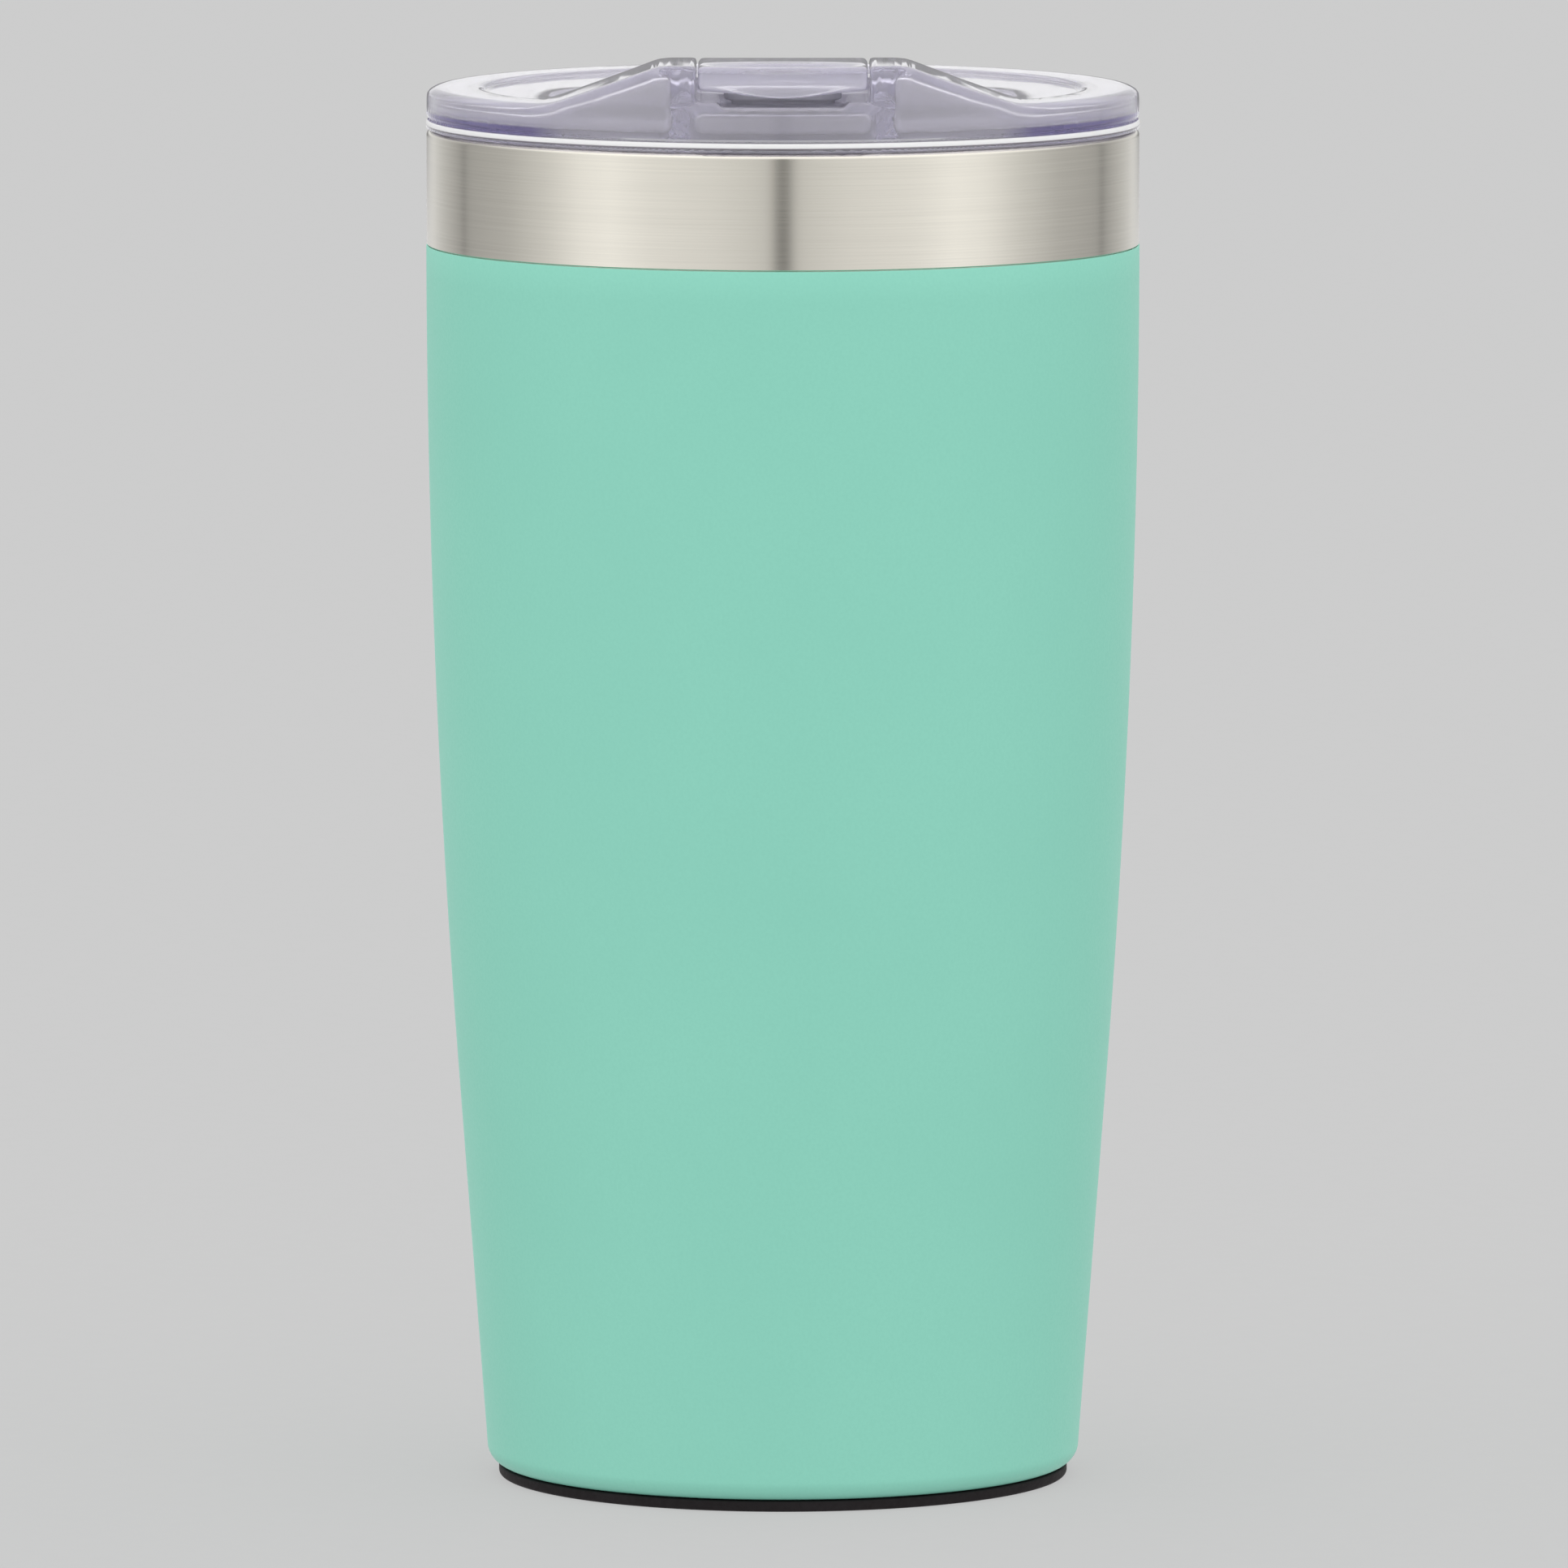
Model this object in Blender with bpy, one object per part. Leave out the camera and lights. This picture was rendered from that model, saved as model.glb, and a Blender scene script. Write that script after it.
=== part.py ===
"""Vacuum-insulated tumbler with a push-in clear lid and a flip-up drinking flap.

Frame: metres, +Z up. The origin is the centre of the foot, on the surface the tumbler stands on.
The drinking side, where the flap's nose is, faces -Y.
"""

import math

import bmesh
import bpy
import numpy
from mathutils import Matrix, Vector

MM = 0.001
WELD = 0.002 * MM                 # points closer than this become one after a cut

# ---------------------------------------------------------------- driving dimensions

SEGMENTS = 36                     # facets round the tumbler
ROUND_DETAIL = 24                 # facets round the small pieces in the foot
PIN_SEGMENTS = 16                 # facets round pins and small holes
ASSEMBLY_GAP = 0.3 * MM           # between pieces that rest on or fit in each other
LAYER_GAP = 0.05 * MM             # under a coat, a foil or a tape

# Steel body
BODY_MAX_RADIUS = 44.55 * MM      # outside of the coated body, just below the bare band
WIDEST_Z = 156.0 * MM             # height where the body stops being parallel
BOW = 0.355                       # inward bow of the upper body, in metres per square metre of drop
STRAIGHT_Z = 51.0 * MM            # below this the body is a plain cone
COAT_EDGE_Z = 154.9 * MM          # top edge of the paint, bottom of the bare steel band
LIP_Z = 169.3 * MM                # top of the steel lip
LIP_ROUND = 0.7 * MM
LIP_INNER_ROUND = 0.5 * MM        # inside bend where the shell folds over at the lip
FOOT_ROUND = 2.6 * MM             # rounded bottom corner of the body
STEEL = 0.6 * MM                  # wall of the outer shell and base
LINER_STEEL = 0.5 * MM
COAT = 0.2 * MM
SHELL_OFFSET = COAT + LAYER_GAP   # from the coat's face to the steel under it
VACUUM_GAP = 3.0 * MM
MOUTH_RADIUS = 41.3 * MM          # inside of the liner where the lid pushes in
MOUTH_LEDGE_Z = 155.4 * MM        # below this ledge the liner follows the body
LEDGE_RISE = 2.0 * MM
LINER_FLOOR_Z = 12.0 * MM
LINER_CORNER = 7.0 * MM
FOIL = 0.15 * MM
FOIL_CLEARANCE = 0.2 * MM
FOIL_TOP_Z = 148.0 * MM
LIP_SEAM_RADIUS = 42.95 * MM      # where shell and liner meet on top of the lip
WALL_LEVELS = [STRAIGHT_Z, 78 * MM, 104 * MM, 130 * MM]     # heights of the wall's facets

# Foot
PAD_RADIUS = 35.7 * MM
PAD_HEIGHT = 1.35 * MM
TAPE = 0.2 * MM
BASE_Z = PAD_HEIGHT + TAPE + 2 * LAYER_GAP     # underside of the steel base
BASE_DISC_RADIUS = 32.7 * MM
PORT_RADIUS = 0.8 * MM            # hole the air is drawn out through
DIMPLE_RADIUS = 5.0 * MM
DIMPLE_DEPTH = 2.2 * MM
DIMPLE_SLOPE = 1.6 * MM           # how far the dimple's side leans in
SEAL_RADIUS = 2.6 * MM
SEAL_EDGE = 0.3 * MM              # straight side of the glass bead
SEAL_FLATNESS = 0.5               # height of the bead's dome over a half ball's
GETTER_RADIUS = 4.0 * MM
GETTER_HEIGHT = 1.5 * MM
GETTER_WALL = 0.3 * MM            # the cup's sheet
GETTER_CLEARANCE = 0.1 * MM
GETTER_PLACE = (16 * MM, 0, BASE_Z + STEEL + LAYER_GAP)

# Lid shell
LID_SEAT_Z = LIP_Z + ASSEMBLY_GAP
DECK_Z = 174.6 * MM               # flat ring round the lid
RECESS_Z = 173.8 * MM             # sunken middle of the lid
CREST_Z = 180.0 * MM              # highest point, at the drinking edge
FLANGE_RADIUS = 44.4 * MM
FLANGE_DRAFT = 0.0354             # the lid's outer wall narrows by this much per unit of height
FLANGE_ROUND = 0.9 * MM
RECESS_RADIUS = 37.6 * MM
LID_SKIN = 1.5 * MM
FLANGE_INSIDE = 41.9 * MM         # inner face of the outer wall, above the solid ring at its foot
FLANGE_FOOT = 2.0 * MM            # height of that ring, which joins the outer wall to the skirt
SKIRT_RADIUS = 39.8 * MM
SKIRT_INSIDE = 36.8 * MM
SKIRT_Z = 157.9 * MM
SKIRT_CHAMFER = 0.8 * MM
GROOVE_RADIUS = 38.4 * MM
GROOVE_Z = (160.4 * MM, 165.4 * MM)

# Raised drinking ramp across the lid's front, seen from the front as a plateau with ogee shoulders
RAMP_TOP_Y = -28.5 * MM           # the plateau is level in front of this
RAMP_END_Y = 10.0 * MM            # where the ramp has come down to the recess
RAMP_BAYS = 5
PLATEAU_HALF = 14.2 * MM
CREST_ROUND = 5.0 * MM
FOOT_FAIR = 14.0 * MM
SHOULDER_ANGLE = math.radians(21.0)

# Channel that the flap lies in
CHANNEL_HALF = 10.75 * MM
CHANNEL_DEPTH = 4.4 * MM
CHANNEL_END_Y = 4.0 * MM
CHANNEL_WALL = 2.5 * MM
CHANNEL_WALL_Z = 170.6 * MM       # how far down the channel's side walls reach
CHANNEL_FLOOR = 1.6 * MM
POUR_HALF = 7.8 * MM
POUR_DEPTH = 0.6 * MM
SIP_Y = -32.5 * MM
SIP_HALF_SPACING = 3.5 * MM
SIP_RADIUS = 3.25 * MM
VENT_Y = -17.0 * MM
VENT_RADIUS = 0.9 * MM

# Flap
PIVOT_Y = -9.0 * MM
PIVOT_Z = 174.8 * MM              # puts the top of the barrel flush with the ramp
BARREL_RADIUS = 2.0 * MM
STUB_RADIUS = 1.5 * MM
STUB_CLEARANCE = 0.15 * MM
STUB_REACH = 12.2 * MM
FLAP_HALF = CHANNEL_HALF - ASSEMBLY_GAP
FLAP_THICKNESS = 2.4 * MM
NOSE_THICKNESS = 3.2 * MM
NOSE_LENGTH = 4.0 * MM
BOSS_RADIUS = 1.5 * MM
BOSS_HEIGHT = 1.5 * MM

# Silicone
SEAL_LIP_RISE = 0.7 * MM          # how far a wiping lip sweeps up
SEAL_LIP_EDGE = 0.3 * MM
SEAL_LIP_SPACING = 2.0 * MM
PLUG_DEPTH = 1.6 * MM             # how far the plug reaches into the sip hole
PLUG_TAPER = 0.5 * MM
PLUG_OVERLAP = 0.5 * MM           # of the plug's head round the hole
VENT_OVERLAP = 1.1 * MM

BEYOND = 50.0 * MM                # past the edge of the lid, for shapes that run out of it

# ---------------------------------------------------------------- materials

FINISHES = {
    "steel": {"color": (0.62, 0.60, 0.54), "roughness": 0.32, "metallic": 1.0},
    "mint_coat": {"color": (0.266, 0.631, 0.515), "roughness": 0.55, "metallic": 0.0},
    "copper": {"color": (0.80, 0.42, 0.28), "roughness": 0.25, "metallic": 1.0},
    "clear_plastic": {"color": (0.80, 0.78, 0.88), "roughness": 0.05, "metallic": 0.0, "alpha": 0.45},
    "silicone": {"color": (0.80, 0.80, 0.82), "roughness": 0.5, "metallic": 0.0, "alpha": 0.8},
    "rubber": {"color": (0.018, 0.016, 0.018), "roughness": 0.75, "metallic": 0.0},
    "tape": {"color": (0.75, 0.73, 0.68), "roughness": 0.6, "metallic": 0.0},
    "sealing_glass": {"color": (0.20, 0.22, 0.20), "roughness": 0.2, "metallic": 0.0},
    "getter_alloy": {"color": (0.25, 0.25, 0.26), "roughness": 0.7, "metallic": 1.0},
}


def finish(name):
    """The Principled material called name, made the first time it is asked for."""
    if name in bpy.data.materials:
        return bpy.data.materials[name]
    values = FINISHES[name]
    material = bpy.data.materials.new(name)
    material.use_nodes = True
    shader = material.node_tree.nodes["Principled BSDF"]
    shader.inputs["Base Color"].default_value = (*values["color"], 1.0)
    shader.inputs["Roughness"].default_value = values["roughness"]
    shader.inputs["Metallic"].default_value = values["metallic"]
    shader.inputs["Alpha"].default_value = values.get("alpha", 1.0)
    material.diffuse_color = (*values["color"], values.get("alpha", 1.0))
    return material


# ---------------------------------------------------------------- modelling helpers

def clear_scene():
    for obj in list(bpy.data.objects):
        bpy.data.objects.remove(obj, do_unlink=True)


def new_object(name, mesh, finish_name=None):
    obj = bpy.data.objects.new(name, mesh)
    bpy.context.scene.collection.objects.link(obj)
    if finish_name:
        mesh.materials.clear()
        mesh.materials.append(finish(finish_name))
    return obj


def object_from_bmesh(name, bm, finish_name=None):
    bm.normal_update()
    bmesh.ops.recalc_face_normals(bm, faces=bm.faces)
    mesh = bpy.data.meshes.new(name)
    bm.to_mesh(mesh)
    bm.free()
    return new_object(name, mesh, finish_name)


def turned(name, outline, finish_name=None, segments=SEGMENTS, centre=(0, 0, 0)):
    """A closed outline of (radius, height) points, spun round a vertical axis through centre."""
    bm = bmesh.new()
    points = [bm.verts.new((radius, 0, height)) for radius, height in outline]
    sides = [pair for pair in zip(points, points[1:] + points[:1]) if pair[0].co.x + pair[1].co.x > 0]
    edges = [bm.edges.new(pair) for pair in sides]
    bmesh.ops.spin(bm, geom=points + edges, axis=(0, 0, 1), cent=(0, 0, 0), angle=math.tau,
                   steps=segments, use_merge=True)
    bmesh.ops.remove_doubles(bm, verts=bm.verts, dist=1e-7)
    bmesh.ops.translate(bm, verts=bm.verts, vec=centre)
    return object_from_bmesh(name, bm, finish_name)


def prism(name, outline, half_width, finish_name=None):
    """A closed outline of (y, z) points, extruded along X to half_width on both sides."""
    bm = bmesh.new()
    points = [bm.verts.new((-half_width, y, z)) for y, z in outline]
    face = bm.faces.new(points)
    side = bmesh.ops.extrude_face_region(bm, geom=[face])["geom"]
    moved = [item for item in side if isinstance(item, bmesh.types.BMVert)]
    bmesh.ops.translate(bm, verts=moved, vec=(2 * half_width, 0, 0))
    return object_from_bmesh(name, bm, finish_name)


def stadium(name, half_spacing, levels, finish_name=None, arc_steps=6):
    """A slot-shaped column. levels are (radius, height) pairs from bottom to top."""
    bm = bmesh.new()
    rings = []
    for radius, height in levels:
        ring = []
        for side in (1, -1):
            for step in range(arc_steps + 1):
                angle = -math.pi / 2 + math.pi * step / arc_steps
                x = side * (half_spacing + radius * math.cos(angle))
                y = side * radius * math.sin(angle)
                ring.append(bm.verts.new((x, y, height)))
        rings.append(ring)
    for low, high in zip(rings, rings[1:]):
        for i, _ in enumerate(low):
            j = (i + 1) % len(low)
            bm.faces.new((low[i], low[j], high[j], high[i]))
    bm.faces.new(reversed(rings[0]))
    bm.faces.new(rings[-1])
    return object_from_bmesh(name, bm, finish_name)


def rod(name, radius, x_from, x_to, y, z):
    """A cylinder along X."""
    bm = bmesh.new()
    bmesh.ops.create_cone(bm, cap_ends=True, segments=PIN_SEGMENTS, radius1=radius, radius2=radius,
                          depth=x_to - x_from)
    for vert in bm.verts:
        across, along, height = vert.co
        vert.co = Vector(((x_from + x_to) / 2 + height, y + across, z + along))
    return object_from_bmesh(name, bm)


def combine(target, tool, operation):
    """Joins tool to target, or cuts it out, and removes the tool."""
    modifier = target.modifiers.new(operation.title(), "BOOLEAN")
    modifier.operation = operation
    modifier.object = tool
    bpy.context.view_layer.update()
    graph = bpy.context.evaluated_depsgraph_get()
    made = bpy.data.meshes.new_from_object(target.evaluated_get(graph))
    target.modifiers.clear()
    old = target.data
    target.data = made
    made.name = target.name
    bpy.data.meshes.remove(old)
    bpy.data.objects.remove(tool, do_unlink=True)
    weld_close_points(made)
    return target


def weld_close_points(mesh):
    """Closes the hairline edges that a cut can leave."""
    bm = bmesh.new()
    bm.from_mesh(mesh)
    bmesh.ops.remove_doubles(bm, verts=bm.verts, dist=WELD)
    bmesh.ops.dissolve_degenerate(bm, edges=bm.edges, dist=WELD)
    bm.to_mesh(mesh)
    bm.free()


def shade_round(obj):
    obj.data.shade_smooth()
    obj.data.set_sharp_from_angle(angle=math.radians(35))


def arc(centre_r, centre_z, radius, start, end, steps):
    """Points on an arc in the (radius, height) plane, angles in degrees."""
    angles = [math.radians(start + (end - start) * i / steps) for i in range(steps + 1)]
    return [(centre_r + radius * math.cos(a), centre_z + radius * math.sin(a)) for a in angles]


# ---------------------------------------------------------------- steel body

def body_radius(z):
    """Outside of the coated body: parallel at the top, gently bowed in, then a plain cone."""
    drop = max(0.0, WIDEST_Z - z)
    bowed = min(drop, WIDEST_Z - STRAIGHT_Z)
    return BODY_MAX_RADIUS - BOW * bowed ** 2 - 2 * BOW * bowed * (drop - bowed)


def wall_outline(offset_outside, offset_inside, z_top, corner_z):
    """A thin wall that follows the body, with a rounded foot that turns in under it."""
    sides = []
    for offset in (offset_outside, offset_inside):
        rounding = FOOT_ROUND - offset
        start_z = corner_z + FOOT_ROUND
        centre_r = body_radius(start_z) - FOOT_ROUND
        foot = arc(centre_r, start_z, rounding, -90, 0, 3)
        rise = [(body_radius(z) - offset, z) for z in WALL_LEVELS + [z_top]]
        sides.append(foot + rise)
    return sides


def powder_coat():
    outside, inside = wall_outline(0.0, COAT, COAT_EDGE_Z, PAD_HEIGHT + LAYER_GAP)
    return turned("powder_coat", outside + inside[::-1], "mint_coat")


def outer_shell():
    """The coated and bare outer wall, from the seam on the lip to the inturned foot.

    The bare band stands proud of the coated wall by the coat's thickness, so that the two are flush.
    """
    inside_offset = SHELL_OFFSET + STEEL
    band_z = COAT_EDGE_Z + LAYER_GAP
    outside, inside = wall_outline(SHELL_OFFSET, inside_offset, band_z, PAD_HEIGHT + LAYER_GAP)
    band_r = BODY_MAX_RADIUS - LAYER_GAP
    lip_z = LIP_Z - LIP_ROUND
    lip_outside = arc(band_r - LIP_ROUND, lip_z, LIP_ROUND, 0, 90, 3)
    inner_r, inner_z = BODY_MAX_RADIUS - inside_offset - LIP_INNER_ROUND, LIP_Z - STEEL - LIP_INNER_ROUND
    lip_inside = arc(inner_r, inner_z, LIP_INNER_ROUND, 90, 0, 2)
    seam = [(LIP_SEAM_RADIUS, LIP_Z), (LIP_SEAM_RADIUS, lip_inside[0][1])]
    opening_r = BASE_DISC_RADIUS + ASSEMBLY_GAP
    foot_edge = [(opening_r, inside[0][1]), (opening_r, outside[0][1])]
    outline = outside + [(band_r, band_z)] + lip_outside + seam + lip_inside
    return turned("outer_shell", outline + inside[::-1] + foot_edge, "steel")


def liner_radius(z):
    return body_radius(z) - SHELL_OFFSET - STEEL - VACUUM_GAP - LINER_STEEL


def liner_side(thickness):
    """Half section of the liner, from its floor's centre to the lip, this far outside its inner face."""
    corner_z = LINER_FLOOR_Z + LINER_CORNER
    corner_r = liner_radius(corner_z) - LINER_CORNER
    floor = [(0.0, LINER_FLOOR_Z - thickness)]
    corner = arc(corner_r, corner_z, LINER_CORNER + thickness, -90, 0, 3)
    wall = [(liner_radius(z) + thickness, z) for z in WALL_LEVELS]
    ledge = [(liner_radius(MOUTH_LEDGE_Z) + thickness, MOUTH_LEDGE_Z - LEDGE_RISE),
             (MOUTH_RADIUS + thickness, MOUTH_LEDGE_Z)]
    lip = arc(MOUTH_RADIUS + LIP_ROUND, LIP_Z - LIP_ROUND, LIP_ROUND - thickness, 180, 90, 3)
    return floor + corner + wall + ledge + lip


def inner_liner():
    inside, outside = liner_side(0.0), liner_side(LINER_STEEL)
    seam = LIP_SEAM_RADIUS - 2 * LAYER_GAP
    edge = [(seam, LIP_Z), (seam, LIP_Z - LINER_STEEL)]
    return turned("inner_liner", inside + edge + outside[::-1], "steel")


def copper_foil():
    """Foil wrapped round the liner inside the vacuum, which turns back radiated heat."""
    levels = [LINER_FLOOR_Z + LINER_CORNER] + WALL_LEVELS + [FOIL_TOP_Z]
    near = [(liner_radius(z) + LINER_STEEL + FOIL_CLEARANCE, z) for z in levels]
    far = [(r + FOIL, z) for r, z in near]
    return turned("copper_foil", near + far[::-1], "copper")


def outer_base():
    """Steel disc that closes the shell's foot, with a dimple and an evacuation port in the middle."""
    low, high = BASE_Z, BASE_Z + STEEL
    dimple_top = high + DIMPLE_DEPTH
    under_r, over_r = DIMPLE_RADIUS, DIMPLE_RADIUS + 0.8 * STEEL
    outline = [(PORT_RADIUS, dimple_top - STEEL), (under_r - DIMPLE_SLOPE, dimple_top - STEEL),
               (under_r, low), (BASE_DISC_RADIUS, low), (BASE_DISC_RADIUS, high),
               (over_r, high), (over_r - DIMPLE_SLOPE, dimple_top), (PORT_RADIUS, dimple_top)]
    return turned("outer_base", outline, "steel")


def vacuum_seal():
    """Bead of solder glass in the dimple, which closed the evacuation port in the furnace."""
    top = BASE_Z + DIMPLE_DEPTH - LAYER_GAP
    edge = top - SEAL_EDGE
    ball = arc(0.0, 0.0, SEAL_RADIUS, 0, -90, 4)
    dome = [(r, edge + z * SEAL_FLATNESS) for r, z in ball]
    return turned("vacuum_seal", [(0.0, top), (SEAL_RADIUS, top)] + dome, "sealing_glass", ROUND_DETAIL)


def getter_cup():
    """Small steel cup, spot-welded to the inside of the base, that holds the getter."""
    r_in = GETTER_RADIUS + GETTER_CLEARANCE
    r_out = r_in + GETTER_WALL
    rim = GETTER_WALL + GETTER_HEIGHT + 2 * GETTER_CLEARANCE
    outline = [(0, 0), (r_out, 0), (r_out, rim), (r_in, rim), (r_in, GETTER_WALL), (0, GETTER_WALL)]
    return turned("getter_cup", outline, "steel", ROUND_DETAIL, GETTER_PLACE)


def getter_pill():
    """Pressed alloy pill that soaks up stray gas in the vacuum."""
    low = GETTER_WALL + LAYER_GAP
    outline = [(0, low), (GETTER_RADIUS, low), (GETTER_RADIUS, low + GETTER_HEIGHT), (0, low + GETTER_HEIGHT)]
    return turned("getter_pill", outline, "getter_alloy", ROUND_DETAIL, GETTER_PLACE)


# ---------------------------------------------------------------- foot

def base_pad():
    """Rubber disc the tumbler stands on, sunk a little in the middle so that it rests on its outer land."""
    low_round, sunk, sunk_radius = 0.5 * MM, 0.4 * MM, 26.0 * MM
    corner = arc(PAD_RADIUS - low_round, low_round, low_round, -90, 0, 3)
    outline = [(0, sunk), (sunk_radius, sunk), (sunk_radius + 0.6 * MM, 0)] + corner
    return turned("base_pad", outline + [(PAD_RADIUS, PAD_HEIGHT), (0, PAD_HEIGHT)], "rubber")


def pad_tape():
    """Double-sided tape between the rubber pad and the steel base."""
    low = PAD_HEIGHT + LAYER_GAP
    r_in, r_out = 9 * MM, 31 * MM
    return turned("pad_tape", [(r_in, low), (r_out, low), (r_out, low + TAPE), (r_in, low + TAPE)], "tape")


# ---------------------------------------------------------------- lid shell

def shoulder_points():
    """(x, height) points down the ogee shoulder, from the plateau's edge out to the recess."""
    height = CREST_Z - RECESS_Z
    sine, cosine = math.sin(SHOULDER_ANGLE), math.cos(SHOULDER_ANGLE)
    straight_drop = height - (CREST_ROUND + FOOT_FAIR) * (1 - cosine)
    straight_run = straight_drop / math.tan(SHOULDER_ANGLE)
    foot_x = PLATEAU_HALF + (CREST_ROUND + FOOT_FAIR) * sine + straight_run
    steps = 3
    points = []
    for i in range(steps + 1):
        turn = SHOULDER_ANGLE * i / steps
        drop = CREST_ROUND * (1 - math.cos(turn))
        points.append((PLATEAU_HALF + CREST_ROUND * math.sin(turn), height - drop))
    for i in range(steps, -1, -1):
        turn = SHOULDER_ANGLE * i / steps
        points.append((foot_x - FOOT_FAIR * math.sin(turn), FOOT_FAIR * (1 - math.cos(turn))))
    return points


def ramp_share(y):
    """How much of the ramp's full height it has at y, from 1 on the plateau to 0 at its end."""
    along = (y - RAMP_TOP_Y) / (RAMP_END_Y - RAMP_TOP_Y)
    return 0.5 + 0.5 * math.cos(math.pi * along)


RAMP_STATIONS = [RAMP_TOP_Y + (RAMP_END_Y - RAMP_TOP_Y) * i / RAMP_BAYS for i in range(RAMP_BAYS + 1)]
RAMP_SHARES = [ramp_share(y) for y in RAMP_STATIONS]


def plateau_z(y):
    """Height of the top of the ramp at y, along its facets."""
    return RECESS_Z + (CREST_Z - RECESS_Z) * float(numpy.interp(y, RAMP_STATIONS, RAMP_SHARES))


def plateau_angle(y):
    """How steeply the ramp falls towards +Y at y."""
    step = 0.5 * MM
    return math.atan((plateau_z(y - step) - plateau_z(y + step)) / (2 * step))


def ramp_line(y_from, y_to, offset):
    """Points (y, z) along the ramp, this far above its top."""
    inner = [y for y in RAMP_STATIONS if y_from < y < y_to]
    return [(y, plateau_z(y) + offset) for y in [y_from] + inner + [y_to]]


def ramp_slab(name, lowered, bottom_z):
    """A block whose top is the recessed deck with the drinking ramp on it, all lowered by this much."""
    right = shoulder_points()
    left = [(-x, height) for x, height in right[::-1]]
    profile = [(-BEYOND, 0.0)] + left + right + [(BEYOND, 0.0)]
    bm = bmesh.new()
    grid = []
    for y in [-BEYOND] + RAMP_STATIONS + [BEYOND]:
        share = float(numpy.interp(y, RAMP_STATIONS, RAMP_SHARES))
        grid.append([bm.verts.new((x, y, RECESS_Z - lowered + height * share)) for x, height in profile])
    for near, far in zip(grid, grid[1:]):
        for i in range(len(profile) - 1):
            bm.faces.new((near[i], near[i + 1], far[i + 1], far[i]))
    rim = [edge for edge in bm.edges if edge.is_boundary]
    wall = bmesh.ops.extrude_edge_only(bm, edges=rim)["geom"]
    for item in wall:
        if isinstance(item, bmesh.types.BMVert):
            item.co.z = bottom_z
    bmesh.ops.contextual_create(bm, geom=[edge for edge in bm.edges if edge.is_boundary])
    bmesh.ops.triangulate(bm, faces=[face for face in bm.faces if len(face.verts) == 4])
    return object_from_bmesh(name, bm)


def cylinder_tool(name, radius, low, high, top_radius=None):
    return turned(name, [(0, low), (radius, low), (top_radius or radius, high), (0, high)])


def flange_radius(z):
    return FLANGE_RADIUS - FLANGE_DRAFT * (z - LID_SEAT_Z)


def deck_and_skirt():
    """The turned part of the lid: flange, flat ring, recess and grooved skirt, still solid inside."""
    top_r = flange_radius(DECK_Z)
    shoulder = arc(top_r - FLANGE_ROUND, DECK_Z - FLANGE_ROUND, FLANGE_ROUND, 0, 90, 4)
    outline = [(0, SKIRT_Z), (SKIRT_RADIUS - SKIRT_CHAMFER, SKIRT_Z), (SKIRT_RADIUS, SKIRT_Z + SKIRT_CHAMFER),
               (SKIRT_RADIUS, GROOVE_Z[0]), (GROOVE_RADIUS, GROOVE_Z[0]),
               (GROOVE_RADIUS, GROOVE_Z[1]), (SKIRT_RADIUS, GROOVE_Z[1]),
               (SKIRT_RADIUS, LID_SEAT_Z), (FLANGE_RADIUS, LID_SEAT_Z)]
    outline += shoulder + [(RECESS_RADIUS, DECK_Z), (RECESS_RADIUS - 0.4 * MM, RECESS_Z), (0, RECESS_Z)]
    return turned("lid_shell", outline, "clear_plastic")


def ramp_box(name, half_width, y_from, y_to, top_offset, bottom_offset):
    """A block whose top and bottom follow the ramp, at these heights above it."""
    outline = ramp_line(y_from, y_to, bottom_offset) + ramp_line(y_from, y_to, top_offset)[::-1]
    return prism(name, outline, half_width)


def square_to_ramp(obj, y):
    """Moves an object made round its own origin to the top of the ramp at y, and tilts it with the ramp."""
    obj.data.transform(Matrix.Translation((0, y, plateau_z(y))) @ Matrix.Rotation(-plateau_angle(y), 4, "X"))
    return obj


def front_limit(name, low, high):
    """A round block with the lid's front on its side, kept just inside the flange below it."""
    inset = 0.1 * MM
    return cylinder_tool(name, flange_radius(low) - inset, low, high, flange_radius(high) - inset)


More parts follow.
